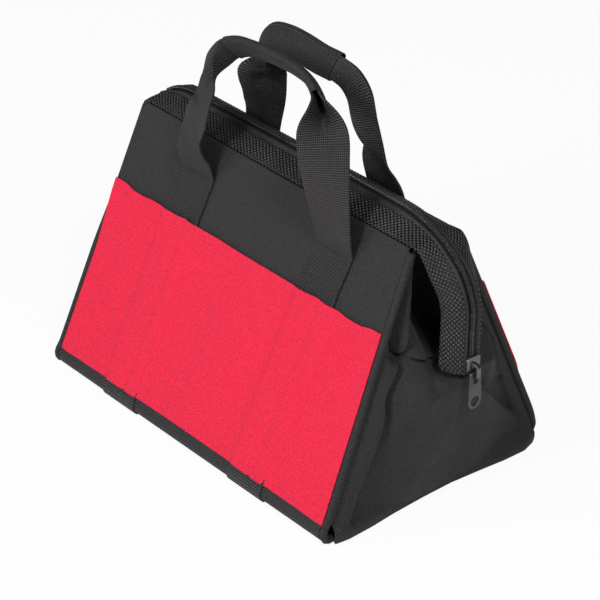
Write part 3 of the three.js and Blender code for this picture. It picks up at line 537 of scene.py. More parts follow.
def seam_at(facing, hand, v):
    """Where the pocket is sewn through to the side, beside the middle of a strap"""
    low, high = SEAM_LINES[facing][hand]
    return mix(low, high, min(max((v - 13) / (POCKET_HIGH - 13), 0.0), 1.0))


def over_straps(x, v, facing, edge):
    """1 on top of a strap, 0 beside it"""
    most = 0.0
    for hand in HANDS:
        away = abs(x - strap_centre(facing, hand, v)) - WEBBING_WIDTH / 2
        most = max(most, smooth(0.5 - away / edge))
    return most


def sag(t, facing):
    """The filled bag's cloth rounds out past the board at the bottom corner"""
    under = 1.4 * smooth((t - CORNER_Y + 34) / 30)
    full = (under + 1.9 * smooth((t - CORNER_Y) / 6)) * smooth((20 - slope_height(t)) / 16)
    return full * (1 if facing < 0 else 0.3)


def rolled_edge(x, v, facing):
    """1 at the front side's left edge, where the cloth rolls over the piping above the pocket"""
    if facing > 0 or x > 0:
        return 0.0
    return smooth((-x - panel_half(v)) / 12 + 1) * smooth((v - 96) / 60)


def shell_point(u, t, facing):
    """The side's own cloth, from under the base to the zip band"""
    v = slope_height(t)
    x = u * panel_half(max(v, 0)) / panel_half(0)
    edge = rolled_edge(x, v, facing)
    lift = sag(t, facing) * (1 - over_straps(x, v, facing, 8) * smooth((CORNER_Y + 3 - t) / 4))
    if v > 12:
        lift += belly(x, v, facing) + upper_crease(x, v, facing) * (1 - over_straps(x, v, facing, 8))
    return round_base(x - 4.6 * edge, t, lift + 0.9 * edge - 2.2 * smooth((edge - 0.6) / 0.4), facing)


def pocket_lift(x, v, facing):
    """The pocket lies on the side, climbs over the straps and is drawn in where it is sewn"""
    lift = belly(x, v, facing) + 0.35 + POCKET_THICKNESS
    lift += 2.0 * over_straps(x, v, facing, 9)
    for hand in HANDS:
        seam = abs(x - seam_at(facing, hand, v))
        lift -= 0.6 * math.exp(-(seam / 2.2) ** 2)
        lift += 0.35 * math.exp(-((seam - 7) / 5) ** 2)
    lift += 0.3 * soft_noise(x, v, 17, 2.0 + facing)
    mouth = smooth((v - 140) / 17)
    lift += mouth * (0.5 + 0.5 * soft_noise(x, 0, 40, 5.0 + facing))
    lift -= 0.35 * math.exp(-((v - POCKET_HIGH + POCKET_HEM) / 1.8) ** 2)
    lift -= 0.3 * math.exp(-((v - POCKET_LOW - 5) / 1.6) ** 2)
    edge = panel_half(v) - abs(x)
    lift -= 0.5 * math.exp(-(edge / 3) ** 2)
    return max(lift, 0.3 + POCKET_THICKNESS) + 2.4 * over_piping(x, v, facing, 11)


def over_piping(x, v, facing, run):
    """The back pocket's right edge is puffed up over the piping and shows past it from the front"""
    if facing < 0 or x < 0:
        return 0.0
    return smooth((x - panel_half(v)) / run + 1) * smooth((v - 46) / 34)


def pocket_top(x, facing):
    """The mouth's edge: hung between the seams, with a small peak at each and at the ends"""
    rise = 0.0
    for hand in HANDS:
        rise += 1.3 * math.exp(-(abs(x - seam_at(facing, hand, POCKET_HIGH)) / 9) ** 1.2)
    rise += 1.2 * smooth((abs(x) - 132) / 16)
    if facing > 0:
        rise += 7 * smooth((x - 126) / 24)
    return POCKET_HIGH - 0.8 + rise - 1.2 * smooth((abs(x) - 108) / 14) * (1 - smooth((abs(x) - 130) / 14))


def pocket_low(x, facing):
    return POCKET_LOW + 1.1 * (1 - (x / 156) ** 2) * (1.2 if facing < 0 else 0.7)


class ZipLine:
    """Half of the zip by its own length: a ridge with a slight crown, a bend, and what hangs"""

    def __init__(self, run, drop, turn, hang):
        bend = turn * (run + drop) / 2
        reach = np.linspace(0, RIDGE_HALF + bend + hang, 1201)
        share = np.minimum(reach / RIDGE_HALF, 1)
        beyond = np.maximum(reach - RIDGE_HALF, 0)
        angle = np.minimum(beyond / bend, 1) * turn
        self.x = np.minimum(reach, RIDGE_HALF) + run * np.sin(angle)
        self.z = RIDGE_LOW + RIDGE_CROWN * (1 - share ** 2) ** 2 - drop * (1 - np.cos(angle))
        self.z -= np.maximum(beyond - bend, 0)
        self.lengths = np.concatenate([[0], np.cumsum(np.hypot(np.diff(self.x), np.diff(self.z)))])
        self.length = float(self.lengths[-1])

    def at(self, s):
        return float(np.interp(s, self.lengths, self.x)), float(np.interp(s, self.lengths, self.z))


ZIP_LINES = {
    1: ZipLine(BEND_RUN, BEND_DROP, math.pi / 2, HANG_TOP - HANG_BOTTOM),
    -1: ZipLine(SHUT_RUN, SHUT_DROP, math.asin((SHUT_REACH - RIDGE_HALF) / SHUT_RUN), 0),
}
HEM_END = ZIP_LINES[1].length - TONGUE_SHORT_OF_COIL
SHUT_END = ZIP_LINES[-1].length


def zip_frame(s, end):
    """One place along the zip: its point, outward direction, and how the flap beside it lies"""
    line = ZIP_LINES[end]
    s = min(max(s, 0.0), line.length)
    x, z = line.at(s)
    ahead, behind = line.at(min(s + 0.6, line.length)), line.at(max(s - 0.6, 0.0))
    run_x, run_z = ahead[0] - behind[0], ahead[1] - behind[1]
    size = math.hypot(run_x, run_z)
    drop = max(line.at(min(s, TONGUE_FOLD_START, line.length))[1] - TOP_HEIGHT, 0)
    folded = smooth((s - TONGUE_FOLD_START) / TONGUE_FOLD_RUN) if end > 0 else 0.0
    slope = mix(math.atan2(drop, TOP_GAP / 2), TONGUE_FOLD, folded)
    width = mix(math.hypot(drop, TOP_GAP / 2), TONGUE_HALF_WIDTH, folded)
    return x, z, -run_z / size, run_x / size, slope, width, TONGUE_HINGE * folded


def beside_zip(s, across, lift, end, facing, flat=False):
    """A point beside the zip: how far across, how far lifted off, which end and which side"""
    x, z, out_x, out_z, slope, _, hinge = zip_frame(s, end)
    turned = 0.0 if flat else slope * smooth((across - hinge) / 2.4 + 0.5)
    hinge = 0.0 if flat else hinge
    beyond = across - hinge
    y = -hinge - beyond * math.cos(turned) - lift * math.sin(turned)
    rise = -beyond * math.sin(turned) + lift * math.cos(turned)
    return end * (x + out_x * rise), -facing * y, z + out_z * rise


def gusset_rows():
    fold_z = TONGUE_BOTTOM - FOLD_BELOW_HEM
    fold_x = HANG_X - 1.5 * WEBBING_THICKNESS - FOLD_BEHIND_HEM
    low_x = piping_x(0) - SEAT
    below = [(up * fold_z, mix(low_x, fold_x, way), flat) for up, way, flat in BELOW_FOLD]
    above = [
        (mix(fold_z, TOP_HEIGHT, up), fold_x - way * HOLLOW_DEPTH, flat) for up, way, flat in ABOVE_FOLD
    ]
    return np.array(below + above)


GUSSET_ROWS = gusset_rows()


def gusset_reach(z):
    """How far the gusset's edge may reach from the middle at a height"""
    on_line = BASE_DEPTH / 2 - z * UP_Y / UP_Z - (PIPING_SUNK + PIPING_RADIUS) / UP_Z
    room = BASE_CORNER_RADIUS - PIPING_SUNK - PIPING_RADIUS
    drop = max(BASE_CORNER_RADIUS - z, 0)
    on_corner = CORNER_Y + math.sqrt(max(room * room - drop * drop, 0))
    return min(on_line, on_corner) if drop > 0 else on_line


# Folds in the gusset: ends (y, z), half width, rise outwards
GUSSET_FOLDS = [
    ((-70, 60), (-30, 96), 7, 0.8),
    ((54, 76), (74, 66), 2.6, 1.6), ((50, 70), (72, 60), 3.5, -1.8), ((20, 100), (52, 82), 8, 0.9),
    ((-14, 60), (-34, 24), 13, 1.2), ((2, 92), (-8, 46), 12, 0.9), ((30, 46), (42, 20), 9, 0.8),
    ((-40, 40), (10, 30), 8, -0.7), ((64, 22), (92, 14), 3.5, 1.0),
    ((26, 190), (44, 128), 5, 1.5), ((14, 186), (26, 120), 7, -1.5),
]

# Creases: ends (y, z), how far the cloth drops past the crease, and over what distance it
# comes back. The cloth drops on the left of the way from the first end to the second.
GUSSET_CREASES = [
    ((96, 13), (6, 104), -7.5, 17), ((-6, 116), (-27, 123.5), 5.5, 9), ((-25, 123), (-50, 131), 5.5, 8),
]


def crease(y, z):
    """Sharp creases, where one part of the cloth lies over the next and that comes back slowly"""
    total = 0.0
    for (y0, z0), (y1, z1), drop, run in GUSSET_CREASES:
        along_y, along_z = y1 - y0, z1 - z0
        size = math.hypot(along_y, along_z)
        t = ((y - y0) * along_y + (z - z0) * along_z) / size
        left = ((z - z0) * along_y - (y - y0) * along_z) / size * (1 if drop > 0 else -1)
        ends = smooth(t / 10 + 0.4) * smooth((size - t) / 10 + 0.4)
        total -= abs(drop) * ends * smooth(left / 2.4 + 0.5) * math.exp(-max(left, 0) / run)
    return total


def pleat(y, z):
    """The upper gusset's front half: a rounded pleat between a narrow gap and the deep hollow"""
    down = smooth((204 - z) / 78)
    middle = mix(-19, -27, down)
    half = mix(2.5, 10.5, down)
    top = smooth((z - 121) / 5) * smooth((201 - z) / 14)
    crown = math.cos(min(abs(y - middle) / half, 1.0) * math.pi / 2)
    gap = math.exp(-((y - middle + half + mix(1.2, 3.2, down)) / mix(1.6, 3.4, down)) ** 2)
    hollow = smooth((y - middle - 0.6 * half) / 9) * smooth((30 - y) / 20)
    return top * ((1 + 3 * down) * crown - (5 + 10 * down) * gap - (8 + 22 * down) * hollow)


def gusset_row(z):
    """The gusset's middle at a height: how far out it lies, and the share of it that is flat"""
    return [float(np.interp(z, GUSSET_ROWS[:, 0], GUSSET_ROWS[:, i])) for i in (1, 2)]


def gusset_x(y, z):
    at = gusset_row(z)
    rounded = smooth((-15 - y) / 9) * smooth((z - 70) / 14) * smooth((150 - z) / 16)
    if rounded > 0:
        near = [gusset_row(z + step)[0] for step in (-16, -11, -6, 0, 5, 10)]
        at[0] = mix(at[0], sum(near) / len(near), rounded)
    edge = piping_x(z / UP_Z) - SEAT
    reach = gusset_reach(z)
    share = min(abs(y) / reach, 1.0)
    bulge = smooth((1 - share) / (1 - at[1]))
    room = smooth((1 - share) * 5) * smooth((z - 6) / 8) * smooth((200 - z) / 20)
    uneven = 0.8 * soft_noise(y, z, 33, 7.0) + 0.35 * soft_noise(y, z, 12, 8.0)
    inner = room * (relief(y, z, GUSSET_FOLDS) + crease(y, z) + uneven) + pleat(y, z)
    # The roll beside the piping ends in a steep edge, with a trough behind it higher up
    width = (16 if y < 0 else 12) * smooth((212 - z) / 70) - 6 * math.exp(-((z - 103) / 17) ** 2)
    beside = (reach - abs(y)) / max(width, 1.0)
    side = 6.0 * smooth((206 - z) / 40) if y < 0 else 1.6 * smooth((160 - z) / 50)
    roll = math.sin(min(beside / 0.6, 1.0) * math.pi / 2) * (1 - smooth((beside - 0.78) / 0.3))
    trough = math.exp(-((beside - 1.12) * width / 2.4) ** 2) * (0.15 + 0.7 * smooth((z - 50) / 60))
    return mix(edge, at[0], bulge) + inner + side * (roll - trough)


# How far the roll along the gusset's bottom stands out past the piping: y, how far
BOTTOM_ROLL = [
    (-104, 1.2), (-96, 3.6), (-88, 5), (-66, 4.2), (-44, 1.7), (-14, 0.2),
    (14, 0.2), (40, 3.4), (64, 7), (84, 8), (104, 0),
]


def gusset_point(u, t, end, facing):
    """The gusset's cloth, turned down over the piping in a roll along the base"""
    z = mix(GUSSET_LOW, GUSSET_TOP, t)
    y = facing * abs(u) * gusset_reach(z)
    x = gusset_x(y, z)
    turned = smooth((18 - z) / (18 - GUSSET_LOW))
    z -= 6.4 * turned
    full = math.sqrt(max(1 - ((z - 5) / 8.5) ** 2, 0.0)) if z < 13.5 else 0.0
    y -= math.copysign((6 if y > 0 else 1) * turned * smooth(abs(u) * 7 - 6), y)
    out = float(np.interp(y, [place for place, _ in BOTTOM_ROLL], [size for _, size in BOTTOM_ROLL]))
    rolled = piping_x(0) + PIPING_RADIUS + 0.4 + (out + 0.5) * full
    return end * mix(x, max(rolled, x), smooth((16 - z) / 9)), y, z


class Handle:
    """One carrying handle's path: a smooth line through its knots, and how the webbing lies"""

    def __init__(self, facing):
        spec = HANDLES[facing]
        self.facing = facing
        self.turning = spec["turning"]
        self.twist = spec["twist"]
        self.opening = spec["opening"]
        ends = [
            Vector(on_slope(STRAP_LINES[facing][hand][1], SEWN_TOP + HANDLE_GAP, 1.2, facing))
            for hand in ("left", "right")
        ]
        knots = [ends[0], *(Vector(p) for p in spec["route"]), ends[1]]
        knots = [2 * knots[0] - knots[1], *knots, 2 * knots[-1] - knots[-2]]
        points = []
        for a, b, c, d in zip(knots, knots[1:], knots[2:], knots[3:]):
            gaps = [max((q - p).length ** 0.5, 1e-3) for p, q in ((a, b), (b, c), (c, d))]
            leave = (b - a) / gaps[0] - (c - a) / (gaps[0] + gaps[1]) + (c - b) / gaps[1]
            reach = (c - b) / gaps[1] - (d - b) / (gaps[1] + gaps[2]) + (d - c) / gaps[2]
            leave, reach = leave * gaps[1], reach * gaps[1]
            for step in range(40):
                t = step / 40
                points.append(
                    b + leave * t + (3 * (c - b) - 2 * leave - reach) * t * t
                    + (2 * (b - c) + leave + reach) * t * t * t
                )
        points.append(knots[-2])
        self.points = np.array(points)
        steps = np.linalg.norm(np.diff(self.points, axis=0), axis=1)
        self.lengths = np.concatenate([[0], np.cumsum(steps)])
        self.length = float(self.lengths[-1])
        self.sleeve_from = (self.length - SLEEVE_LENGTH) / 2 + spec["sleeve_shift"]
        self.folded_half = SLEEVE_LENGTH / 2 + abs(spec["sleeve_shift"])
        self.stations = {}

    def at(self, s):
        return Vector([float(np.interp(s, self.lengths, self.points[:, i])) for i in range(3)])

    def station(self, s):
        """The path's point, and the directions of the webbing's width and of its folded arms"""
        key = round(s, 3)
        if key in self.stations:
            return self.stations[key]
        nearest = min(s, self.length - s)
        rising = Vector((0, -self.facing * UP_Y, UP_Z)) * (1 if s < self.length / 2 else -1)
        tangent = (self.at(min(s + 0.8, self.length)) - self.at(max(s - 0.8, 0))).normalized()
        along = rising.lerp(tangent, smooth(nearest / SEWN_RUN)).normalized()
        flat = Vector((0, self.facing, 0))
        flat = (flat - along * flat.dot(along)).normalized()
        outward = flat.cross(along) * -self.facing
        turning = self.turning[0 if s < self.length / 2 else 1]
        tilt = GRIP_TILT * smooth(nearest / ((self.length - SLEEVE_LENGTH) / 2)) ** turning
        if s < self.length / 2:
            tilt += self.twist * smooth((nearest - 8) / 30) * (1 - smooth((nearest - 58) / 40))
        arms = flat * math.cos(tilt) + outward * math.sin(tilt)
        self.stations[key] = self.at(s), arms.cross(along), arms
        return self.stations[key]

    def closing(self, s):
        run = self.opening[0 if s < self.length / 2 else 1]
        return FOLD_ANGLE * (1 - smooth((abs(s - self.length / 2) - self.folded_half) / run))

    def webbing_point(self, u, s):
        """A place u across the webbing, which folds in half towards the grip"""
        point, width, arms = self.station(s)
        closing = self.closing(s)
        half = WEBBING_WIDTH / 2
        run, rise = self.folded(abs(u), closing)
        sunk = self.folded(half, closing)[1] / 2
        return point + width * math.copysign(run, u) + arms * (rise - sunk)

    @staticmethod
    def folded(reach, closing):
        """How far a place at reach lies across and down the arm, past the fold's rounded middle"""
        run = rise = 0.0
        steps = 10
        for step in range(steps):
            c = (step + 0.5) / steps * min(reach, FOLD_ROUND)
            angle = closing * smooth(c / FOLD_ROUND)
            run += math.cos(angle) * min(reach, FOLD_ROUND) / steps
            rise += math.sin(angle) * min(reach, FOLD_ROUND) / steps
        beyond = max(reach - FOLD_ROUND, 0)
        return run + beyond * math.cos(closing), rise + beyond * math.sin(closing)


# ---------------------------------------------------------------- making pieces

def new_piece(name, mesh, finish):
    data = bpy.data.meshes.new(name)
    mesh.to_mesh(data)
    mesh.free()
    data.shade_smooth()
    data.materials.append(finish)
    made = bpy.data.objects.new(name, data)
    bpy.context.scene.collection.objects.link(made)
    return made


def cloth(name, width, length, place, finish, thickness, step=2.5, middle=False, closed=False, split=None):
    """A sheet cut flat to width and length and laid where place says, its face outwards.
    Its cut is kept as a UV map in metres, so that a weave follows the cloth."""
    mesh = bmesh.new()
    cut = mesh.loops.layers.uv.new("cut")
    counts = split or (max(round(width / step), 2), max(round(length / step), 2))
    bmesh.ops.create_grid(mesh, x_segments=counts[0], y_segments=counts[1], size=0.5, calc_uvs=True)
    for face in mesh.faces:
        for corner in face.loops:
            spot = corner.vert.co
            corner[cut].uv = ((spot.x + 0.5) * width * MM, (spot.y + 0.5) * length * MM)
    for vert in mesh.verts:
        vert.co = metres(*place(vert.co.x * width, (vert.co.y + 0.5) * length))
    if closed:
        bmesh.ops.remove_doubles(mesh, verts=mesh.verts, dist=0.02 * MM)
    made = new_piece(name, mesh, finish)
    wall = made.modifiers.new("thickness", "SOLIDIFY")
    wall.thickness = thickness * MM
    wall.offset = 0 if middle else -1
    wall.use_even_offset = False
    edge = made.modifiers.new("soft_edge", "BEVEL")
    edge.width = 0.28 * thickness * MM
    edge.segments = 2
    edge.limit_method = "ANGLE"
    edge.angle_limit = math.radians(60)
    edge.use_clamp_overlap = True
    return made


def beads(mesh, places, segments):
    """Adds a small rounded body at each place, a few at a time so that it stays quick"""
    for first in range(0, len(places), 16):
        few = bmesh.new()
        for place in places[first:first + 16]:
            bmesh.ops.create_uvsphere(
                few, u_segments=segments[0], v_segments=segments[1], radius=1, matrix=place,
            )
        part = bpy.data.meshes.new("few")
        few.to_mesh(part)
        few.free()
        mesh.from_mesh(part)
        bpy.data.meshes.remove(part)


def sew(mesh, place, start, end, pitch, long, wide, high):
    """Stitches from start to end on the cloth that place gives, each a small bead of thread"""
    a, b = Vector(start), Vector(end)
    count = max(round((b - a).length / pitch), 1)
    places = []
    for index in range(count):
        spot = a.lerp(b, (index + 0.5) / count)
        ahead = spot + (b - a).normalized() * 0.6
        here = metres(*place(*spot))
        along = (metres(*place(*ahead)) - here).normalized()
        right = metres(*place(spot.x + 0.6, spot.y)) - here
        rising = metres(*place(spot.x, spot.y + 0.6)) - here
        normal = right.cross(rising).normalized()
        side = normal.cross(along).normalized()
        turn = Matrix((along, side, normal)).transposed().to_4x4()
        size = Matrix.Diagonal((long / 2 * MM, wide / 2 * MM, high * MM, 1))
        places.append(Matrix.Translation(here) @ turn @ size)
    beads(mesh, places, (6, 4))


def tube(name, length, place, finish, split):
    """A cloth rolled round into a closed tube with filled ends; place takes an angle and a length"""
    mesh = bmesh.new()
    cut = mesh.loops.layers.uv.new("cut")
    bmesh.ops.create_grid(mesh, x_segments=split[0], y_segments=split[1], size=0.5, calc_uvs=True)
    around = 2 * math.pi * PIPING_RADIUS
    for face in mesh.faces:
        for corner in face.loops:
            spot = corner.vert.co
            corner[cut].uv = ((spot.x + 0.5) * around * MM, (spot.y + 0.5) * length * MM)
    for vert in mesh.verts:
        vert.co = metres(*place((vert.co.x + 0.5) * 2 * math.pi, (vert.co.y + 0.5) * length))
    bmesh.ops.remove_doubles(mesh, verts=mesh.verts, dist=0.02 * MM)
    bmesh.ops.holes_fill(mesh, edges=[e for e in mesh.edges if e.is_boundary], sides=0)
    bmesh.ops.recalc_face_normals(mesh, faces=mesh.faces)
    return new_piece(name, mesh, finish)


def turn_with_base(made):
    """Bakes the cloth round the bottom corner into place where it lies"""
    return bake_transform(made)


SHELL_LENGTH = CORNER_Y + CORNER_ARC + SLOPE_LENGTH - SEAT - CORNER_REACH


def make_shell(side, facing):
    width = 2 * panel_half(0)
    shell = cloth(
        f"{side}_shell", width, SHELL_LENGTH,
        lambda u, t: shell_point(-facing * u, t, facing), OXFORD, PANEL_THICKNESS, step=2.6,
    )
    turn_with_base(shell)
    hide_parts(f"{side}_panel", "base_panel")


def make_pocket(side, facing):
    width = 2 * panel_half(POCKET_LOW)
    height = POCKET_HIGH - POCKET_LOW

    def lie(u, t):
        x = -facing * u
        v = mix(pocket_low(x, facing), pocket_top(x, facing), t / height)
        x *= panel_half(v) / panel_half(POCKET_LOW)
        lift = pocket_lift(x, v, facing) + 0.6 * rolled_edge(x, v, facing)
        x += 2.9 * over_piping(x, v, facing, 9) - 3.4 * rolled_edge(x, v, facing)
        return on_slope(x, v, lift, facing)

    pocket = cloth(f"{side}_pocket_cloth", width, height, lie, ROSE, POCKET_THICKNESS, step=1.8)
    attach(pocket, f"{side}_side")
    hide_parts(f"{side}_pocket")

    def on_pocket(u, v):
        return on_slope(-facing * u, v, pocket_lift(-facing * u, v, facing) + 0.02, facing)

    mesh = bmesh.new()
    edge = panel_half(80) - 3
    hem = POCKET_HIGH - POCKET_HEM
    sew(mesh, on_pocket, (-edge + 3, hem), (edge - 3, hem), 4.2, 3.1, 0.7, 0.28)
    sew(mesh, on_pocket, (-edge, POCKET_LOW + 5.2), (edge, POCKET_LOW + 5.2), 4.2, 3.1, 0.7, 0.28)
    for hand in HANDS:
        low, high = (-facing * seam_at(facing, hand, v) for v in (POCKET_LOW + 4, POCKET_HIGH - 2))
        sew(mesh, on_pocket, (low, POCKET_LOW + 4), (high, POCKET_HIGH - 2), 4.6, 3.3, 0.75, 0.26)
        sew(
            mesh, on_pocket, (high + 1.7, POCKET_HIGH - 20), (high + 1.5, POCKET_HIGH - 2),
            3.6, 2.8, 0.75, 0.26,
        )
    thread = new_piece(f"{side}_pocket_stitching", mesh, RED_THREAD_WITH_SEAM_SHADE)
    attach(thread, f"{side}_side")


STRAP_LENGTH = SHELL_LENGTH - (SLOPE_LENGTH - SEAT) + SEWN_TOP + 0.45


def strap_point(u, t, facing, hand, proud=0.0):
    """The carrying strap: flat under the base, round the corner and up the side"""
    v = slope_height(t)
    x = strap_centre(facing, hand, v) - facing * u
    lift = STRAP_OUTER + proud + (belly(x, v, facing) if v > 12 else 0.0)
    lift += 0.75 * sag(t, facing) * smooth((t - CORNER_Y) / 6)
    return round_base(x, t, lift, facing)


def make_strap(side, facing, hand):
    strap = cloth(
        f"{side}_strap_{hand}_webbing", WEBBING_WIDTH, STRAP_LENGTH,
        lambda u, t: strap_point(u, t, facing, hand), WEBBING, WEBBING_THICKNESS, step=2.4,
    )
    turn_with_base(strap)
    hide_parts(f"{side}_strap_{hand}", f"base_strap_{hand}")
    mesh = bmesh.new()
    near = STRAP_LENGTH - SEWN_TOP

    def on_strap(u, v):
        return strap_point(u, v + near, facing, hand, 0.05)

    half = WEBBING_WIDTH / 2 - 2.4
    for v in (186.5, 190.5):
        sew(mesh, on_strap, (-half, v), (half, v), 3.2, 2.4, 0.6, 0.3)
    for edge in (-half, half):
        sew(mesh, on_strap, (edge, 160), (edge, 186), 3.4, 2.6, 0.55, 0.28)
    thread = new_piece(f"{side}_strap_{hand}_stitching", mesh, BLACK_THREAD)
    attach(thread, f"{side}_side")


def make_piping(side, facing, hand):
    sign = HANDS[hand]
    length = SHELL_LENGTH - PIPING_SHORT_OF_TOP

    def lie(angle, t):
        v = slope_height(t)
        drawn_in = math.exp(-((v - 2) / 15) ** 2) * (3.4 if facing > 0 else 0)
        x = sign * (piping_x(max(v, 0)) - 0.9 * drawn_in) + PIPING_RADIUS * math.cos(angle)
        sunk = PIPING_SUNK - 0.7 * sag(t, facing) * smooth((t - CORNER_Y) / 6)
        sunk += 0.6 * drawn_in * smooth((t - CORNER_Y) / 6) if facing > 0 else 0.0
        sunk += 2.3 * smooth((v - 96) / 60) if facing < 0 and sign < 0 else 0.0
        return round_base(x, t, PIPING_RADIUS * math.sin(angle) - sunk, facing)

    cord = tube(f"{side}_piping_{hand}_cord", length, lie, OXFORD, (16, 110))
    turn_with_base(cord)
    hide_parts(f"{side}_piping_{hand}", f"base_piping_{hand}")


GUSSET_CUT = (108, 262)


def make_gusset(hand, side, facing):
    end = HANDS[hand]
    turned = end * facing < 0

    def lie(u, t):
        share = u / GUSSET_CUT[0] + 0.5
        return gusset_point(1 - share if turned else share, t / GUSSET_CUT[1], end, facing)

    half = cloth(
        f"{hand}_gusset_{side}_half", *GUSSET_CUT, lie, OXFORD, GUSSET_THICKNESS,
        split=(80, 200) if end > 0 else (54, 120),
    )
    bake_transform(half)
    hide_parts(f"gusset_{hand}")


def open_with_side(made, side, end):
    """At the left the zip's cloth opens with its side; at the right it stays in place with the tongue"""
    if end < 0:
        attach(made, f"{side}_side")
    else:
        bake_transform(made)


def band_near(width):
    """The band's edge beside the tape, which keeps a least width where the flap is narrow"""
    return max(width - BAND_VISIBLE, TAPE_NEAR + TAPE_LEAST + SEAT)


def band_turn(t):
    """At the tongue's end the band turns back under itself as a hem: its place and how far round"""
    turn = min(max((t - HEM_END) / HEM_TURN + 0.5, 0.0), 1.0)
    if t <= HEM_END - HEM_TURN / 2:
        return t, turn
    if t >= HEM_END + HEM_TURN / 2:
        return 2 * HEM_END - t, turn
    return HEM_END - HEM_TURN / 2 + 1.4 * math.sin(turn * math.pi), turn


def band_point(share, t, end, facing):
    """The band beside the zip, hemmed at the tongue's end and sewn shut at the other"""
    s, turn = band_turn(t) if end > 0 else (t, 0.0)
    lift = BAND_THICKNESS / 2 - (1 - math.cos(turn * math.pi)) * 1.05
    width = zip_frame(s, end)[5]
    near, far = band_near(width), width - BAND_MITRE
    left = HEM_END - s
    if end > 0 and left < TONGUE_CORNER:
        far -= TONGUE_CORNER - math.sqrt(max(TONGUE_CORNER ** 2 - (TONGUE_CORNER - left) ** 2, 0))
    if end < 0 and SHUT_END - s < SHUT_CORNER:
        far -= SHUT_CORNER - math.sqrt(max(SHUT_CORNER ** 2 - (SHUT_CORNER - SHUT_END + s) ** 2, 0))
    across = mix(near, far, share)
    tongue = smooth((s - TONGUE_FOLD_START) / 30) if end > 0 else 0.0
    lift += (0.5 * math.sin(share * math.pi) - 1.6 * tongue * smooth((share - 0.7) / 0.3)) * (1 - turn)
    lift += 0.5 * soft_noise(end * s, across * facing, 24, 6.0) * math.sin(share * math.pi)
    if facing > 0 and end > 0:
        lift -= 2.6 * math.exp(-((s - 131) / 17) ** 2) * share
    x, y, z = beside_zip(s, across, lift, end, facing)
    wrapped = smooth((s - SHUT_END + 9) / 9) if end < 0 else 0.0
    return x - 3.2 * wrapped, y, z - 3.4 * wrapped ** 2


def tape_point(share, s, end, facing):
    """The zip tape: a raised ribbon beside the band that dips under the coil"""
    width = zip_frame(s, end)[5]
    across = mix(0.35, band_near(width) + 0.6, share)
    low = Vector(beside_zip(s, min(across, 3.6), -1.7, end, facing, flat=True))
    crown = 0.9 * math.exp(-((across - 5.2) / 1.3) ** 2) - 0.7 * smooth((across - 6.6) / 1.4)
    high = Vector(beside_zip(s, across, TAPE_THICKNESS / 2 + crown, end, facing))
    return low.lerp(high, smooth((across - 3.1) / 1.1))


def make_zip(side, facing, hand):
    end = HANDS[hand]
    turned = end * facing > 0
    tongue = ["tongue"] if end > 0 else []
    band_width = BAND_VISIBLE - BAND_MITRE
    cloth_end = HEM_END if end > 0 else SHUT_END
    length = HEM_END + TONGUE_HEM if end > 0 else SHUT_END

    def shared(u, width):
        share = u / width + 0.5
        return 1 - share if turned else share

    band = cloth(
        f"{side}_band_{hand}_half", band_width, length,
        lambda u, t: band_point(shared(u, band_width), t, end, facing),
        BAND, BAND_THICKNESS, split=(10, 170),
    )
    open_with_side(band, side, end)
    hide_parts(f"{side}_band", *(f"{name}_{side}_band" for name in tongue))

    mesh = bmesh.new()
    for share in (0.9, 0.1):
        across = (1 - share if turned else share) * band_width
        sew(
            mesh, lambda u, t: beside_band(u, t, end, facing),
            (across, 1.5), (across, cloth_end - 5), 3.1, 2.3, 0.6, 0.32,
        )
    thread = new_piece(f"{side}_band_{hand}_stitching", mesh, BLACK_THREAD)
    open_with_side(thread, side, end)

    tape = cloth(
        f"{side}_zip_tape_{hand}_half", TAPE_WIDTH, cloth_end,
        lambda u, t: tape_point(shared(u, TAPE_WIDTH), t, end, facing),
        TAPE, TAPE_THICKNESS, split=(14, 150),
    )
    open_with_side(tape, side, end)
    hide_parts(f"{side}_zip_tape", *(f"{name}_{side}_tape" for name in tongue))

    places = []
    for index in range(int((ZIP_LINES[end].length - 1) / TOOTH_PITCH)):
        s = (index + (0.25 if facing < 0 else 0.75)) * TOOTH_PITCH
        tip = metres(*beside_zip(s + 0.5, -0.7, 0.45, end, facing, flat=True))
        root = metres(*beside_zip(s - 0.4, 2.5, -0.1, end, facing, flat=True))
        top, foot = (metres(*beside_zip(s, 2, lift, end, facing, flat=True)) for lift in (1, 0))
        out = top - foot
        along = (root - tip).normalized()
        across = out.cross(along).normalized()
        turn = Matrix((along, across, along.cross(across))).transposed().to_4x4()
        half = (root - tip).length / 2 + TOOTH_ROUND * MM
        size = Matrix.Diagonal((half, TOOTH_HALF_WIDE * MM, TOOTH_HALF_TALL * MM, 1))
        places.append(Matrix.Translation((tip + root) / 2) @ turn @ size)
    mesh = bmesh.new()
    beads(mesh, places, (8, 6))
    coil = new_piece(f"{side}_zip_teeth_{hand}_half", mesh, COIL)
    open_with_side(coil, side, end)
    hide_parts(f"{side}_zip_coil", *(f"{name}_{side}_coil" for name in tongue))


def beside_band(u, t, end, facing):
    share = u / (BAND_VISIBLE - BAND_MITRE)
    turned = end * facing > 0
    return band_point(1 - share if turned else share, t, end, facing)


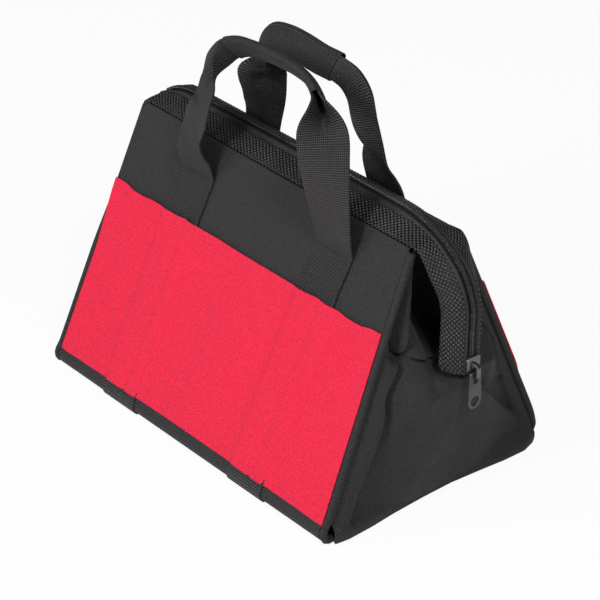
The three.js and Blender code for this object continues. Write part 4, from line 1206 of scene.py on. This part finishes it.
def make_handle(side, facing):
    handle = Handle(facing)
    webbing = cloth(
        f"{side}_handle_strap", WEBBING_WIDTH, handle.length, handle.webbing_point,
        WEBBING, WEBBING_THICKNESS, middle=True, split=(24, 190),
    )
    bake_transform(webbing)
    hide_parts(f"{side}_handle_webbing")

    around = 50

    def wrap(u, t):
        """The sleeve's section is a flat oval, drawn in at its sewn edge"""
        angle = u / around * 2 * math.pi
        point, width, arms = handle.station(handle.sleeve_from + t)
        wide = SLEEVE_HALF_WIDE * abs(math.cos(angle)) ** 0.55
        tall = SLEEVE_HALF_TALL * abs(math.sin(angle)) ** 0.8
        mouth = math.exp(-min(t, SLEEVE_LENGTH - t) / 7)
        wide *= 1.04 + 0.16 * mouth + 0.06 * soft_noise(t, 3 * math.sin(angle), 15, 11.0 + facing)
        seam = math.exp(-((abs(angle) - math.pi / 2) / 0.25) ** 2) if angle > 0 else 0.0
        tall += 0.5 * seam
        wide, tall = math.copysign(wide, math.cos(angle)), math.copysign(tall, math.sin(angle))
        return point + width * wide + arms * tall

    sleeve = cloth(
        f"{side}_sleeve_cloth", around, SLEEVE_LENGTH, wrap,
        OXFORD, SLEEVE_THICKNESS, split=(56, 46), closed=True,
    )
    outward = sleeve.data
    turned = bmesh.new()
    turned.from_mesh(outward)
    centre = handle.station(handle.sleeve_from + SLEEVE_LENGTH / 2)[0]
    face = min(turned.faces, key=lambda f: (f.calc_center_median() - metres(*centre)).length)
    if face.normal.dot(face.calc_center_median() - metres(*centre)) < 0:
        bmesh.ops.reverse_faces(turned, faces=turned.faces)
    turned.to_mesh(outward)
    turned.free()
    outward.shade_smooth()
    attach(sleeve, f"{side}_handle")
    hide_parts(f"{side}_grip_sleeve")


def softened(name, node, width, finish, body):
    """A metal piece's edges as the casting and tumbling leave them"""
    mesh = bmesh.new()
    mesh.from_mesh(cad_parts[node].data)
    bmesh.ops.remove_doubles(mesh, verts=mesh.verts, dist=0.005 * MM)
    bmesh.ops.dissolve_limit(mesh, angle_limit=math.radians(1), verts=mesh.verts, edges=mesh.edges)
    made = new_piece(name, mesh, finish)
    edge = made.modifiers.new("tumbled_edge", "BEVEL")
    edge.width = width * MM
    edge.segments = 2
    edge.limit_method = "ANGLE"
    edge.angle_limit = math.radians(28)
    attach(made, body)
    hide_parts(node)
    return made


for side, facing in SIDES.items():
    make_shell(side, facing)
    make_pocket(side, facing)
    for hand in HANDS:
        make_strap(side, facing, hand)
        make_piping(side, facing, hand)
        make_gusset(hand, side, facing)
        make_zip(side, facing, hand)
    make_handle(side, facing)

softened("zip_slider_cast", "slider_body", 0.35, SLIDER, "zip_slider")
softened("pull_tab_cast", "pull_tab", 0.3, TAB, "tab")
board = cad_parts["base_board"]
board.data.materials.clear()
board.data.materials.append(BOARD)


# ---------------------------------------------------------------- studio

def make_floor():
    mesh = bmesh.new()
    bmesh.ops.create_grid(mesh, x_segments=1, y_segments=1, size=4)
    floor = new_piece("studio_floor", mesh, pale_floor())


def softbox(name, place, size, power):
    data = bpy.data.lights.new(name, "AREA")
    data.shape = "DISK"
    data.size = size
    data.energy = power
    lamp = bpy.data.objects.new(name, data)
    aim = Vector((0, 0, 0.12)) - Vector(place)
    lamp.matrix_world = Matrix.Translation(place) @ aim.to_track_quat("-Z", "Y").to_matrix().to_4x4()
    bpy.context.scene.collection.objects.link(lamp)


def light_studio():
    """A dim pale room, large soft boxes before the front side and one high over the right end"""
    world = bpy.data.worlds.new("studio")
    bpy.context.scene.world = world
    world.use_nodes = True
    tree = world.node_tree
    room = tree.nodes["Background"]
    room.inputs["Color"].default_value = linear("#ffffff")
    room.inputs["Strength"].default_value = 0.07
    white = add(tree, "ShaderNodeBackground", {"Color": (1, 1, 1, 1), "Strength": 1.0})
    seen = add(tree, "ShaderNodeLightPath", {})
    mixed = add(tree, "ShaderNodeMixShader", {}, [
        (0, seen.outputs["Is Camera Ray"]), (1, room.outputs[0]), (2, white.outputs[0]),
    ])
    tree.links.new(mixed.outputs[0], tree.nodes["World Output"].inputs["Surface"])
    softbox("box_left", (-1.1, -1.8, 1.4), 0.7, 14)
    softbox("box_front", (0.0, -2.1, 1.3), 0.7, 29)
    softbox("box_right", (1.5, -0.5, 1.95), 0.6, 32)


make_floor()
light_studio()
bpy.context.scene.view_settings.view_transform = "Standard"
